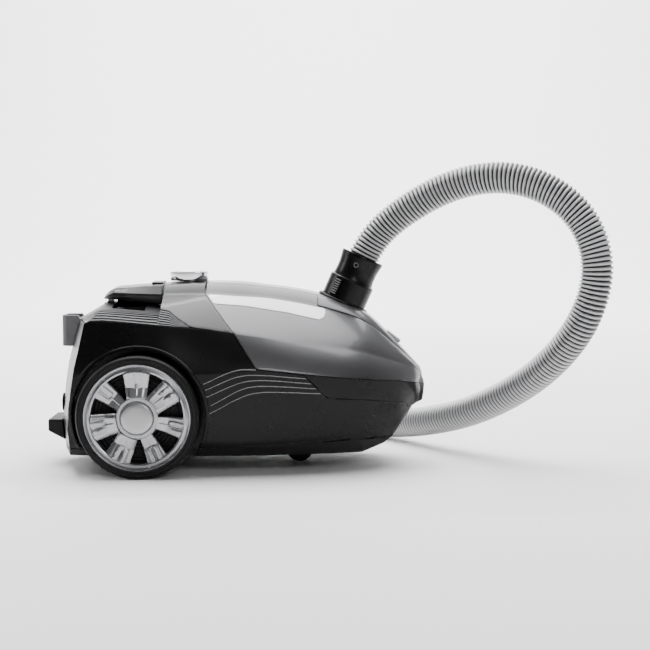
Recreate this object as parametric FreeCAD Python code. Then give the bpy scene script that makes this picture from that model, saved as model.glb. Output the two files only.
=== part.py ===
import FreeCAD, Part
import math
import os

# Canister vacuum cleaner, in millimetres. +X is the nose, +Z is up and the floor is Z = 0.
# The origin is under the middle of the body, so everything is mirrored about Y = 0.

# ---- driving dimensions ----
WALL = 2.5              # thickness of every moulded shell
SEAM = 0.5              # gap between two shells that meet
SLIP = 0.3              # gap between pieces that slide or lie against each other
RUNNING = 0.05          # radial clearance of a shaft in its bore
REACH = 260.0           # longer than half of any side, for cutting tools
PAN_FLOOR = 22.0 + WALL         # inside face of the bottom pan

# hull stations: x, wall shift, then height of the top, (y, z) of the ridge, the crease,
# the widest line and the sill, and the height of the floor
STATIONS = [
    (-215.0, 0, 200.0, 70.0, 193.0, 108.0, 178.0, 112.0, 120.0, 106.0, 40.0, 22.0),
    (-150.0, 0, 196.0, 62.0, 190.0, 116.0, 181.0, 131.0, 120.0, 124.0, 40.0, 22.0),
    (-107.0, 0, 194.0, 60.0, 187.0, 118.0, 178.0, 134.0, 120.0, 126.0, 40.0, 22.0),
    (-87.0, 1, 193.0, 58.0, 186.0, 118.0, 176.0, 134.0, 121.0, 126.0, 40.0, 22.0),
    (-84.6, 1, 219.0, 50.0, 207.0, 116.0, 175.5, 134.0, 121.0, 126.0, 40.0, 22.0),
    (-34.0, 0, 221.0, 48.0, 208.0, 112.0, 171.0, 132.0, 122.0, 123.0, 40.0, 22.0),
    (2.0, 0, 220.5, 48.0, 206.0, 109.0, 165.0, 130.0, 124.0, 120.0, 40.0, 22.0),
    (34.0, 0, 217.0, 47.0, 204.0, 106.0, 160.5, 127.0, 125.5, 116.0, 40.0, 22.0),
    (73.0, 0, 212.0, 46.0, 198.0, 100.0, 153.5, 121.0, 121.0, 109.0, 42.0, 22.0),
    (116.0, 0, 202.0, 44.0, 188.0, 90.0, 146.5, 111.0, 115.5, 99.0, 45.0, 22.0),
    (151.0, 0, 187.5, 41.0, 176.0, 78.0, 140.0, 97.0, 111.5, 86.0, 49.0, 22.0),
    (191.5, 0, 151.0, 34.0, 145.0, 56.0, 127.0, 70.0, 107.5, 61.0, 62.0, 36.0),
    (212.0, 0, 128.0, 25.0, 125.0, 38.0, 119.0, 47.0, 104.0, 42.0, 82.0, 68.0),
    (227.7, -1, 110.0, 8.0, 108.0, 13.0, 104.0, 17.0, 98.0, 15.0, 86.0, 76.0),
]
CROWN_WIDTH = 0.65      # share of the ridge's half width that is nearly flat
CROWN_DROP = 0.12       # share of the ridge's drop reached at the end of that flat
REAR_FLAT = 30.0        # half width of the back that is square; outside it the back sweeps forwards
REAR_SWEEP = 0.23       # forwards for each millimetre outwards
FLOOR_WIDTH = 0.86      # share of the sill's half width that is flat underneath
RIDGE_COLUMN = 3        # place of the ridge's half width in a station
SILL_COLUMN = 9

# side outline that trims the hull: (x, z) and the way the inside of the wall lies
OUTLINE = [
    (-205.0, 10.0, 1, 0), (-209.5, 55.5, 1, 0), (-206.0, 99.0, 1, 0), (-202.0, 125.0, 1, 0),
    (-189.0, 177.0, 1, -0.3), (-159.0, 195.0, 0.5, -1), (-155.0, 240.0, 0.5, 0),
    (222.8, 240.0, -1, 0), (222.6, 116.0, -1, 0), (224.7, 105.0, -1, 0), (227.7, 98.0, -1, 0),
    (227.0, 88.0, -1, 0), (224.0, 77.0, -1, 0.6), (212.0, 74.5, -0.6, 1),
    (186.0, 38.0, -0.8, 0.6), (177.0, 31.0, -0.6, 0.8), (171.0, 25.0, -0.6, 1), (168.0, 10.0, -1, 0),
]

# lines where the shells part, seen from the side
LID_REAR = [(-34.3, 240.0), (-34.3, 207.0), (2.0, 165.0), (28.5, 126.0)]
LID_EDGE = [(102.0, 117.0), (150.0, 111.5), (195.0, 107.0), (240.0, 95.0)]
LID_OUTLINE = LID_REAR + LID_EDGE + [(240.0, 240.0)]
GRILLE_EDGE = [(-230.0, 178.3), (-189.0, 178.3), (-149.0, 181.3), (-103.0, 177.3), (-49.0, 172.6)]
COVER_EDGE = [(-47.5, 173.2), (-66.0, 184.0), (-74.0, 190.0), (-87.6, 192.8)]
BUMPER_EDGE = [(84.2, 117.7), (109.3, 91.4), (120.0, 90.4), (160.0, 86.4), (200.0, 79.4),
               (213.0, 75.0), (240.0, 73.0)]
PAN_EDGE = [(-230.0, 31.0), (-40.0, 31.0), (123.0, 38.0), (190.0, 38.0)]
TRIM_OUTLINE = [(-31.0, 206.3), (34.0, 202.6), (73.0, 196.6), (104.0, 190.0), (108.0, 184.5),
                (100.0, 177.0), (63.0, 186.0), (13.0, 194.0), (-24.0, 197.0)]
PANEL_REAR = 98.0       # where the front centre panel starts
PANEL_FRONT = 221.0

# screws that hold the bottom pan
SCREW_R = 2.0
SCREW_HEAD_R = 4.0
SCREW_PLACES = [(-20.0, 99.0), (135.0, 70.0)]
SCREW_TOP = 50.0
BOSS_R = 5.0
BOSS_BOTTOM = 28.3
BOSS_TOP = 60.0

# wheels
WHEEL_X = -107.3
WHEEL_R = 71.0
WHEEL_Z = WHEEL_R
TYRE_INNER_R = 61.3
WHEEL_IN = 112.0        # inner and outer faces, from the middle plane
TYRE_OUT = 141.0
RIM_OUT = 142.0
CAP_OUT = 145.0
CAP_R = 19.0
HUB_R = 24.0
SPOKES = 7
WINDOW_R = (26.0, 52.7)
SPOKE_WIDTH = (16.2, 24.3)
RIM_PLATE = 5.0
AXLE_R = 5.0
ARCH_R = 77.8
WELL_WALL = 104.0       # inner wall of a wheel well

# caster
CASTER_X = 88.0
CASTER_TRAIL = 12.0
CASTER_R = 16.0
CASTER_HALF_WIDTH = 6.5
CASTER_WELL_R = 32.0
CASTER_WELL_TOP = 44.0
CASTER_STEM_R = 4.0
CASTER_PIN_R = 2.0

# hinge of the lid
HINGE_X = -31.0
HINGE_Z = 214.5
HINGE_PIN_R = 1.2
KNUCKLE_R = 2.4
HINGE_SWEEP_R = 7.7     # clear of the lid's rear edge as it turns
HINGE_LOW_SWEEP_R = 5.0
COVER_KNUCKLE_Y = (-16.0, 16.0)

# hose, its cuff and the inlet in the lid
CUFF_TILT = 23.8
CUFF_BASE = (129.4, 196.6)
CUFF_LENGTH = 59.0
CUFF_R = 27.35
CUFF_STEP = 27.0
CUFF_WAIST_R = 24.0
CUFF_LIP_R = 26.0
CUFF_SPIGOT_R = 19.5
COLLAR_R = 28.6
HOSE_R = 19.0
HOSE_WALL = 2.0
HOSE_SEAT = 40.0        # how far up the cuff the hose's end sits
BUTTON_LENGTH = 22.0
BUTTON_WIDTH = 9.0
BUTTON_TURN = 35.0      # the release button faces the side and a little backwards

# latch of the lid, drawn flat about its own X
LATCH_SLOPE = 37.2
LATCH_PLACE = (191.5, 0.0, 155.2)
LATCH_LENGTH = 18.0
LATCH_HALF_WIDTH = 14.0
LATCH_TRAVEL = 4.0

# power knob
KNOB_X = -58.6
KNOB_R = 23.4
KNOB_BOTTOM = 221.8
KNOB_TOP = 233.0
KNOB_SHAFT_R = 3.0
KNOB_STEM_R = 7.0
BOARD_Z = 196.0

# exhaust grille and cord outlet
GRILLE_SLOTS = 6
GRILLE_FIRST_SLOT = 66.0
GRILLE_PITCH = 7.0
GRILLE_SLOT = 2.6
OUTLET_R = 8.0
OUTLET_Y = -18.0
OUTLET_Z = 75.0

# carry handle and finger recess
HANDLE_HALF_WIDTH = 42.0
RECESS_X = (-146.0, -107.0)
RECESS_HALF_WIDTH = 56.0
RECESS_Z = 168.0
PEDAL_X = (-102.0, -88.0)
PEDAL_Y = (3.0, 21.0)
PEDAL_TOP = 220.6
PEDAL_BOTTOM = 205.0
PEDAL_SEAT = 196.0
PEDAL_SPRING_R = 4.0

# motor, along X
MOTOR_Y = 38.0
MOTOR_Z = 92.0
MOTOR_CASE_R = 52.0
MOTOR_CAN_R = 40.0
FAN_COVER_R = 46.0
SHAFT_R = 4.0
BEARING_R = 9.0
PARTITION_X = 20.0

# cord reel, along Y
REEL_X = -122.0
REEL_Z = 90.0
REEL_R = 55.0
REEL_Y = (-72.0, -30.0)
REEL_AXLE_R = 5.0

# route of the hose: it leaves the cuff, loops over, comes down on the floor and goes round behind
HOSE_ROUTE = [
    (145.7, 0.0, 233.5), (160.9, 0.0, 268.0), (196.0, -8.0, 303.0), (258.0, -28.0, 339.0),
    (320.0, -52.0, 349.0), (374.0, -74.0, 331.0), (412.0, -88.0, 293.0), (426.0, -95.0, 240.0),
    (413.0, -90.0, 184.0), (387.0, -64.0, 137.0), (349.0, -20.0, 94.0), (293.0, 46.0, 54.0),
    (236.0, 120.0, 31.0), (190.0, 190.0, 19.5), (115.0, 262.0, 19.5), (20.0, 300.0, 19.5),
    (-128.0, 302.0, 19.5), (-224.0, 397.0, 19.5), (-225.0, 533.0, 20.0), (-135.0, 636.0, 22.5),
    (-38.0, 636.0, 22.5),
]
HANDLE_R = 20.0
HANDLE_RING_R = 22.2
WAND_R = 17.5
WAND_DEPTH = 45.0
WAND_RELIEF = 1.0       # groove behind the wand's seat
HANDLE_BEND = 25.0
HANDLE_BEND_R = 120.0
HANDLE_NECK = 80.0
HANDLE_GRIP = 120.0
SLIDER_X = (10.0, 34.0)

X_AXIS = FreeCAD.Vector(1, 0, 0)
Y_AXIS = FreeCAD.Vector(0, 1, 0)
Z_AXIS = FreeCAD.Vector(0, 0, 1)


# ---- small tools ----
def block(x0, x1, y0, y1, z0, z1):
    """A box from its two corners."""
    return Part.makeBox(x1 - x0, y1 - y0, z1 - z0, FreeCAD.Vector(x0, y0, z0))


def rod(radius, start, end):
    """A cylinder between two points."""
    a = FreeCAD.Vector(*start)
    run = FreeCAD.Vector(*end) - a
    return Part.makeCylinder(radius, run.Length, a, run)


def pipe(outer, inner, start, end):
    """A straight tube between two points."""
    return rod(outer, start, end).cut(rod(inner, start, end))


def prism(corners, direction):
    """A flat outline pushed along a direction."""
    return Part.Face(Part.makePolygon(corners + corners[:1])).extrude(direction)


def side_prism(points, half_width=REACH):
    """An outline in the X-Z plane, pushed across the whole width."""
    corners = [FreeCAD.Vector(x, -half_width, z) for x, z in points]
    return prism(corners, Y_AXIS * (2 * half_width))


def plan_prism(points, low, high):
    """An outline in the X-Y plane, pushed upwards."""
    corners = [FreeCAD.Vector(x, y, low) for x, y in points]
    return prism(corners, Z_AXIS * (high - low))


def front_prism(points, rear, front):
    """An outline in the Y-Z plane, pushed forwards."""
    corners = [FreeCAD.Vector(rear, y, z) for y, z in points]
    return prism(corners, X_AXIS * (front - rear))


def mirrored(shape):
    """The same piece on the other side of the machine."""
    return shape.mirror(FreeCAD.Vector(0, 0, 0), Y_AXIS)


def both_sides(shape):
    return shape.fuse(mirrored(shape))


def joined(*shapes):
    """One solid from pieces that touch."""
    return shapes[0].fuse(list(shapes[1:])).removeSplitter()


def moved_line(points, dx, dz):
    return [(x + dx, z + dz) for x, z in points]


# ---- the hull that all the shells are cut from ----
def hull_section(station, inset):
    """The closed outline of the hull at one station, drawn in by the inset."""
    (x, shift, top, ridge_y, ridge_z, crease_y, crease_z, side_y, side_z, sill_y, sill_z,
     floor) = station
    crown = top - CROWN_DROP * (top - ridge_z)
    half = [
        (0.0, top - inset), (CROWN_WIDTH * ridge_y, crown - inset),
        (ridge_y - 0.5 * inset, ridge_z - inset), (crease_y - inset, crease_z - 0.6 * inset),
        (side_y - inset, side_z), (sill_y - inset, sill_z + 0.3 * inset),
        (FLOOR_WIDTH * sill_y - 0.5 * inset, floor + inset), (0.0, floor + inset),
    ]
    ring = half + [(-y, z) for y, z in reversed(half[1:-1])]
    corners = [FreeCAD.Vector(x + shift * inset, y, z) for y, z in ring]
    return Part.makePolygon(corners + corners[:1])


def hull(inset):
    """The closed hull, drawn in by the inset and trimmed to the side outline."""
    loft = Part.makeLoft([hull_section(station, inset) for station in STATIONS], True, True)
    outline = [(x + ix * inset, z + iz * inset) for x, z, ix, iz in OUTLINE]
    swept = side_prism(outline, REAR_FLAT)
    for side in (-1, 1):
        corners = [FreeCAD.Vector(x, side * REAR_FLAT, z) for x, z in outline]
        swept = swept.fuse(prism(corners, FreeCAD.Vector(REAR_SWEEP * REACH, side * REACH, 0)))
    return loft.common(side_prism(outline)).common(swept)


def sunk(shell, outer, void, lined_void):
    """A shell with a hollow pressed into it, lined by a wall of its own."""
    lining = lined_void.cut(void).common(outer)
    return shell.cut(void).fuse(lining)


def station_value(x, column):
    """A measure of the hull between two stations, on a straight line."""
    for a, b in zip(STATIONS, STATIONS[1:]):
        if a[0] <= x <= b[0]:
            return a[column] + (b[column] - a[column]) * (x - a[0]) / (b[0] - a[0])
    raise ValueError(x)


def ridge_half_width(x):
    return station_value(x, RIDGE_COLUMN)


OUTER = hull(0.0)
INNER = hull(WALL)


def full_shell():
    """The whole skin with its wheel wells, caster well and finger recess."""
    shell = OUTER.cut(INNER)
    for side in (-1, 1):
        void = rod(ARCH_R, (WHEEL_X, side * WELL_WALL, WHEEL_Z), (WHEEL_X, side * REACH, WHEEL_Z))
        lined = rod(ARCH_R + WALL, (WHEEL_X, side * (WELL_WALL - WALL), WHEEL_Z),
                    (WHEEL_X, side * REACH, WHEEL_Z))
        shell = sunk(shell, OUTER, void, lined)
    void = rod(CASTER_WELL_R, (CASTER_X, 0, 0), (CASTER_X, 0, CASTER_WELL_TOP))
    lined = rod(CASTER_WELL_R + WALL, (CASTER_X, 0, 0), (CASTER_X, 0, CASTER_WELL_TOP + WALL))
    shell = sunk(shell, OUTER, void, lined)
    x0, x1 = RECESS_X
    y1 = RECESS_HALF_WIDTH
    void = block(x0, x1, -y1, y1, RECESS_Z, REACH)
    lined = block(x0 - WALL, x1 + WALL, -y1 - WALL, y1 + WALL, RECESS_Z - WALL, REACH)
    return sunk(shell, OUTER, void, lined)


SKIN = full_shell()


def region(points):
    """The part of the skin that lies in an outline seen from the side."""
    return SKIN.common(side_prism(points))


# ---- screws hold the pan to the housing ----


def screw_points():
    return [(x, side * y) for x, y in SCREW_PLACES for side in (-1, 1)]


# ---- chassis shells ----
def lower_housing():
    """The black body: sides, wheel wells, partition, screw bosses and the latch's catch."""
    top = moved_line(GRILLE_EDGE, 0, -SEAM) + [(0.4, 164.5), (27.7, 125.4)]
    bumper = moved_line(BUMPER_EDGE, -SEAM, -SEAM)
    bottom = moved_line(PAN_EDGE, 0, SEAM)
    shape = region(top + [(83.2, 118.6)] + bumper + [(240.0, 38.5)] + list(reversed(bottom)))
    low_wall = INNER.common(block(PARTITION_X, PARTITION_X + WALL, -REACH, REACH, 31.5, 118.0))
    high_wall = hull(WALL + 2.0).common(
        block(PARTITION_X, PARTITION_X + WALL, -REACH, REACH, 117.0, 150.0))
    window = rod(44.0, (0, MOTOR_Y, MOTOR_Z), (60, MOTOR_Y, MOTOR_Z))
    wall = low_wall.fuse(high_wall).cut(window)
    pieces = [wall]
    for x, y in screw_points():
        side = 1 if y > 0 else -1
        rib_end = side * station_value(x, SILL_COLUMN)
        rib = block(x - 1.5, x + 1.5, min(y, rib_end), max(y, rib_end), 42.0, BOSS_TOP)
        pieces.append(rod(BOSS_R, (x, y, BOSS_BOTTOM), (x, y, BOSS_TOP)))
        pieces.append(rib.common(OUTER))
    shape = shape.fuse(pieces)
    for x, y in screw_points():
        shape = shape.cut(rod(SCREW_R + RUNNING, (x, y, 0), (x, y, SCREW_TOP + 2)))
    for side in (-1, 1):
        hub = pipe(AXLE_R + 4, AXLE_R, (WHEEL_X, side * (WELL_WALL - 12), WHEEL_Z),
                   (WHEEL_X, side * WELL_WALL, WHEEL_Z))
        bore = rod(AXLE_R, (WHEEL_X, side * 90, WHEEL_Z), (WHEEL_X, side * 110, WHEEL_Z))
        shape = shape.fuse(hub).cut(bore)
    outlet = rod(OUTLET_R + SLIP, (-230, OUTLET_Y, OUTLET_Z), (-190, OUTLET_Y, OUTLET_Z))
    caster_room = rod(CASTER_WELL_R + WALL + SEAM, (CASTER_X, 0, 0), (CASTER_X, 0, 70))
    return shape.cut([outlet, caster_room, recess_room()]).removeSplitter()


def recess_room():
    """The space of the finger recess with its lining."""
    y = RECESS_HALF_WIDTH + WALL
    return block(RECESS_X[0] - WALL, RECESS_X[1] + WALL, -y, y, RECESS_Z - WALL, 185.0)


def bottom_pan():
    """The tray underneath, with the caster's well and the screw pads."""
    shape = region(PAN_EDGE + [(200.0, 10.0), (-230.0, 10.0)])
    well_top = SKIN.common(rod(CASTER_WELL_R + WALL, (CASTER_X, 0, 30), (CASTER_X, 0, 50)))
    boss = rod(CASTER_STEM_R + 4, (CASTER_X, 0, CASTER_WELL_TOP), (CASTER_X, 0, 62))
    shape = shape.fuse([well_top, boss])
    shape = shape.cut(rod(CASTER_STEM_R + RUNNING, (CASTER_X, 0, 30), (CASTER_X, 0, 59)))
    for x, y in screw_points():
        pad = rod(7.0, (x, y, 22), (x, y, BOSS_BOTTOM - SLIP))
        shape = shape.fuse(pad.common(OUTER))
        shape = shape.cut(rod(SCREW_HEAD_R + SLIP, (x, y, 10), (x, y, 25)))
        shape = shape.cut(rod(SCREW_R + SLIP, (x, y, 10), (x, y, 40)))
    return shape.removeSplitter()


def housing_screws():
    """Four screws with pan heads, driven up from below."""
    screws = []
    for x, y in screw_points():
        head = rod(SCREW_HEAD_R, (x, y, 22.6), (x, y, 24.9))
        screws.append(head.fuse(rod(SCREW_R, (x, y, 24.9), (x, y, SCREW_TOP))).removeSplitter())
    return Part.makeCompound(screws)


def front_bumper():
    """The soft band round the nose, with the ledge that the lid's latch meets."""
    edge = [(x, z - SEAM) for x, z in LID_EDGE]
    shape = region(BUMPER_EDGE + list(reversed(edge)))
    ledge = block(206.0, 226.0, -9.0, 9.0, 88.0, 91.0).common(INNER)
    return shape.fuse(ledge).removeSplitter()


def rear_cover():
    """The raised cover behind the lid. It carries the knob, the board and the hinge."""
    points = [(-87.6, 240.0), (-34.9, 240.0), (-34.9, 206.8), (1.0, 165.2)]
    shape = region(points + COVER_EDGE)
    sweep = rod(HINGE_SWEEP_R, (HINGE_X, -REACH, HINGE_Z), (HINGE_X, REACH, HINGE_Z))
    low_sweep = rod(HINGE_LOW_SWEEP_R, (HINGE_X, -REACH, HINGE_Z), (HINGE_X, REACH, HINGE_Z))
    shape = shape.cut(sweep.common(block(-60, 0, -REACH, REACH, HINGE_Z, REACH))).cut(low_sweep)
    for x in (KNOB_X - 20, KNOB_X + 12):
        for side in (-1, 1):
            y = side * 26
            post = rod(3.0, (x, y, BOARD_Z + 1.6 + SLIP), (x, y, 218)).common(hull(WALL - 1))
            shape = shape.fuse(post)
    for y in COVER_KNUCKLE_Y:
        arm = side_prism([(-42, 208), (-42, 219), (-39.5, 219), (-39.5, 214), (-31, 216.9),
                          (-31, 212.1), (-38, 208)], 2.5)
        knuckle = rod(KNUCKLE_R, (HINGE_X, -2.5, HINGE_Z), (HINGE_X, 2.5, HINGE_Z))
        arm = arm.common(hull(WALL - 1)).fuse(knuckle)
        arm.translate(FreeCAD.Vector(0, y, 0))
        shape = shape.fuse(arm)
    pins = rod(HINGE_PIN_R + RUNNING, (HINGE_X, -30, HINGE_Z), (HINGE_X, 30, HINGE_Z))
    stem = rod(KNOB_STEM_R + SLIP, (KNOB_X, 0, 205), (KNOB_X, 0, 240))
    return shape.cut(pins).cut(stem).removeSplitter()


def exhaust_grille():
    """The slotted cover over the exhaust filter, with the finger recess in it."""
    right = [(-88.1, 192.3), (-74.5, 189.6), (-66.5, 183.5), (-48.4, 172.9)]
    points = GRILLE_EDGE[:-1] + [(-49.5, 172.8)] + list(reversed(right)) + [(-88.1, 240), (-230, 240)]
    shape = region(points).fuse(SKIN.common(recess_room()))
    slots = []
    for count in range(GRILLE_SLOTS):
        y = GRILLE_FIRST_SLOT + count * GRILLE_PITCH
        slots.append(both_sides(block(-172.0, -94.0, y, y + GRILLE_SLOT, 150.0, 200.0)))
    return shape.cut(Part.makeCompound(slots)).removeSplitter()


def exhaust_filter():
    """The pleated filter in its frame, under the grille."""
    top = RECESS_Z - WALL - SLIP
    frame = block(-172, -94, -88, 88, 150, top).cut(block(-168, -98, -84, 84, 140, 170))
    pleats = []
    for count in range(15):
        x = -167.7 + count * 4.7
        pleats.append(block(x, x + 2.4, -84.0, 84.0, 151, top))
    core = block(-168, -98, -84, 84, 156, 158)
    return joined(frame, core, *pleats)


def carry_handle():
    """The fixed grip over the recess, with the two pedals' pockets in its front end."""
    side = [(-160, 201), (-145, 215), (-109, 218), (-88.2, 218.9), (-88.2, 193.6),
            (-106, 194.4), (-106, 197.5), (-149, 201.5)]
    w = HANDLE_HALF_WIDTH
    front = [(-w, 185), (-w, 207), (-w + 12, 219.5), (w - 12, 219.5), (w, 207), (w, 185)]
    shape = side_prism(side).common(front_prism(front, -170, -80))
    post = block(-157, -149, -12, 12, 196.6, 204)
    shape = shape.fuse(post)
    for y in (PEDAL_Y[0] - SLIP, -PEDAL_Y[1] - SLIP):
        shape = shape.cut(block(PEDAL_X[0] - SLIP, -80, y, y + PEDAL_Y[1] - PEDAL_Y[0] + 2 * SLIP,
                                PEDAL_SEAT, 230))
    return shape.removeSplitter()


def pedal(side):
    """One foot button in the front end of the handle."""
    low, high = PEDAL_Y
    y0, y1 = (low, high) if side > 0 else (-high, -low)
    return block(PEDAL_X[0], PEDAL_X[1] - 0.5, y0, y1, PEDAL_BOTTOM, PEDAL_TOP)


def pedal_spring(side):
    """The spring under a foot button, drawn as its outer sleeve."""
    x = sum(PEDAL_X) / 2
    y = side * sum(PEDAL_Y) / 2
    return pipe(PEDAL_SPRING_R, PEDAL_SPRING_R - 1.5, (x, y, PEDAL_SEAT + SLIP),
                (x, y, PEDAL_BOTTOM - SLIP))


def parking_socket():
    """The socket on the back that takes the floor tool's hook."""
    shape = side_prism([(-212, 143), (-212, 181), (-208, 181.5), (-190.3, 174.5), (-197.9, 143)], 20)
    return shape.cut(block(-208.5, -199.5, -14, 14, 140, 190))


def rear_foot():
    """The foot under the back, on which the machine also stands upright."""
    points = [(-227.5, 55.5), (-227.5, 41.5), (-207.4, 30.5), (-209.9, 55.5)]
    return side_prism(points, 34)


def cord_outlet():
    """The bushing in the back wall that the power cord runs through."""
    flange = pipe(OUTLET_R + 3, 4.5, (-209.7, OUTLET_Y, OUTLET_Z), (-211, OUTLET_Y, OUTLET_Z))
    sleeve = pipe(OUTLET_R, 4.5, (-209.7, OUTLET_Y, OUTLET_Z), (-200, OUTLET_Y, OUTLET_Z))
    return flange.fuse(sleeve).removeSplitter()


# ---- lid ----
def panel_prism(gap):
    """The front centre panel's outline from above, drawn in by a gap."""
    xs = [PANEL_REAR, 116.0, 151.0, 191.5, 212.0, PANEL_FRONT]
    left = [(x + (gap if x == PANEL_REAR else 0), ridge_half_width(x) - gap - 0.6) for x in xs]
    right = [(x, -y) for x, y in reversed(left)]
    return plan_prism(left + right, 112.0, REACH)


def cuff_axis():
    tilt = math.radians(CUFF_TILT)
    return FreeCAD.Vector(math.sin(tilt), 0, math.cos(tilt))


def on_cuff(s):
    """A point on the cuff's axis, s above the collar."""
    point = FreeCAD.Vector(CUFF_BASE[0], 0, CUFF_BASE[1]) + cuff_axis() * s
    return (point.x, point.y, point.z)


def cuff_frame(shape):
    """A piece drawn upright about Z, set on the cuff's axis."""
    placed = shape.copy()
    placed.Placement = FreeCAD.Placement(FreeCAD.Vector(*on_cuff(0)),
                                         FreeCAD.Rotation(Z_AXIS, cuff_axis()))
    return placed


def latch_frame(shape):
    """A piece drawn flat about X, set on the slope of the nose."""
    placed = shape.copy()
    turn = FreeCAD.Rotation(Y_AXIS, LATCH_SLOPE)
    placed.Placement = FreeCAD.Placement(FreeCAD.Vector(*LATCH_PLACE), turn)
    return placed


def lid_shell():
    """The lid without its centre panel and trims, with the hinge knuckles."""
    shape = region(LID_OUTLINE).cut(panel_prism(0.0))
    shape = shape.cut(side_prism(TRIM_OUTLINE))
    for y in (-22.0, -10.0, 10.0, 22.0):
        arm = side_prism([(-33, 212.5), (-31, 212.1), (-22, 214), (-22, 220), (-30, 220)], 2.8)
        knuckle = rod(KNUCKLE_R, (HINGE_X, -2.8, HINGE_Z), (HINGE_X, 2.8, HINGE_Z))
        arm.translate(FreeCAD.Vector(0, y, 0))
        knuckle.translate(FreeCAD.Vector(0, y, 0))
        shape = shape.fuse(arm.common(hull(WALL - 1)).fuse(knuckle))
    for y in COVER_KNUCKLE_Y:
        slot = rod(HINGE_SWEEP_R, (HINGE_X, y - 3, HINGE_Z), (HINGE_X, y + 3, HINGE_Z))
        shape = shape.cut(slot)
    pins = rod(HINGE_PIN_R + RUNNING, (HINGE_X, -30, HINGE_Z), (HINGE_X, 30, HINGE_Z))
    return shape.cut(pins).removeSplitter()


def lid_centre_panel():
    """The panel that holds the inlet and the latch."""
    shape = SKIN.common(panel_prism(SEAM)).common(side_prism(LID_OUTLINE))
    shape = shape.cut(rod(COLLAR_R + SLIP, on_cuff(-30), on_cuff(20)))
    hole = block(-LATCH_LENGTH / 2 - SLIP, LATCH_LENGTH / 2 + SLIP, -LATCH_HALF_WIDTH - SLIP,
                 LATCH_HALF_WIDTH + SLIP, -20, 20)
    return shape.cut(latch_frame(hole)).fuse(latch_bracket()).removeSplitter()


def lid_trims():
    """The silver inserts under the ridges, one on each side."""
    points = TRIM_OUTLINE
    middle_x = sum(x for x, z in points) / len(points)
    middle_z = sum(z for x, z in points) / len(points)
    drawn = []
    for x, z in points:
        reach = math.hypot(x - middle_x, z - middle_z)
        drawn.append((x - (x - middle_x) / reach * SEAM, z - (z - middle_z) / reach * SEAM))
    half = block(-REACH, REACH, 0, REACH, 0, REACH)
    shape = region(drawn).common(half).cut(panel_prism(-SEAM))
    return Part.makeCompound([shape, mirrored(shape)])


def lid_seal():
    """The rubber strip inside the lid's lower edge."""
    low = [(30.0, 127.0), (102.0, 118.2), (150.0, 112.7), (195.0, 108.2), (240.0, 96.0)]
    high = [(x, z + 4.0) for x, z in reversed(low)]
    return hull(WALL + SLIP).cut(hull(WALL + 2.5)).common(side_prism(low + high))


def hinge_pins():
    """The steel pin through the lid's knuckles."""
    return rod(HINGE_PIN_R, (HINGE_X, -25, HINGE_Z), (HINGE_X, 25, HINGE_Z))


def lid_latch():
    """The tab on the nose and its leg, which ends behind the bumper's ledge."""
    half = LATCH_LENGTH / 2
    tab = block(-half, half, -LATCH_HALF_WIDTH, LATCH_HALF_WIDTH, -3.6, 1.2)
    leg = side_prism([(188, 154), (193.5, 150), (196.5, 118), (200.5, 91), (200.5, 84),
                      (197.5, 84), (194.5, 116)], 5.0)
    return latch_frame(tab).fuse(leg).removeSplitter()


def latch_spring():
    """The spring that pushes the tab back out, on a bracket of the lid."""
    tube = pipe(3.0, 2.0, (-5.5, 9.0, -16.0), (-5.5, 9.0, -3.9))
    return latch_frame(tube.fuse(pipe(3.0, 2.0, (-5.5, -9.0, -16.0), (-5.5, -9.0, -3.9))))


def latch_bracket():
    """The strap under the tab that the springs stand on."""
    plate = block(-10, 6, -17, 17, -18.3, -16.3)
    slot = block(-12, 12, -6.5, 6.5, -20, -14)
    ends = block(-10, 6, 15, 17, -18.3, -4.0).fuse(block(-10, 6, -17, -15, -18.3, -4.0))
    frame = plate.cut(slot).fuse(ends).fuse(block(-10, -8, -17, 17, -18.3, -16.3))
    return latch_frame(frame).common(hull(WALL + SLIP)).removeSplitter()


def inlet_collar():
    """The ring in the lid that the hose's cuff plugs into."""
    ring = pipe(COLLAR_R, CUFF_SPIGOT_R + SLIP, on_cuff(-12), on_cuff(-1.5))
    flange = pipe(COLLAR_R + 5, CUFF_SPIGOT_R + SLIP, on_cuff(-12), on_cuff(-9))
    neck = pipe(CUFF_SPIGOT_R + 2.5, CUFF_SPIGOT_R + SLIP, on_cuff(-21), on_cuff(-12))
    return joined(ring, flange, neck)


def inlet_seal():
    """The rubber ring between the inlet and the bag's plate."""
    return pipe(CUFF_SPIGOT_R + 4, CUFF_SPIGOT_R - 2, on_cuff(-25), on_cuff(-21.3))


# ---- hose cuff ----
def button_direction(side):
    """Points out of the cuff where a release button sits, drawn upright."""
    turn = math.radians(BUTTON_TURN)
    return FreeCAD.Vector(-math.sin(turn) * side, -math.cos(turn) * side, 0)


def button_block(side, inner, outer, length, width, bottom):
    """A block along the cuff, between two radii, drawn upright."""
    shape = block(inner, outer, -width / 2, width / 2, bottom, bottom + length)
    angle = math.degrees(math.atan2(button_direction(side).y, button_direction(side).x))
    shape.rotate(FreeCAD.Vector(0, 0, 0), Z_AXIS, angle)
    return shape


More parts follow.
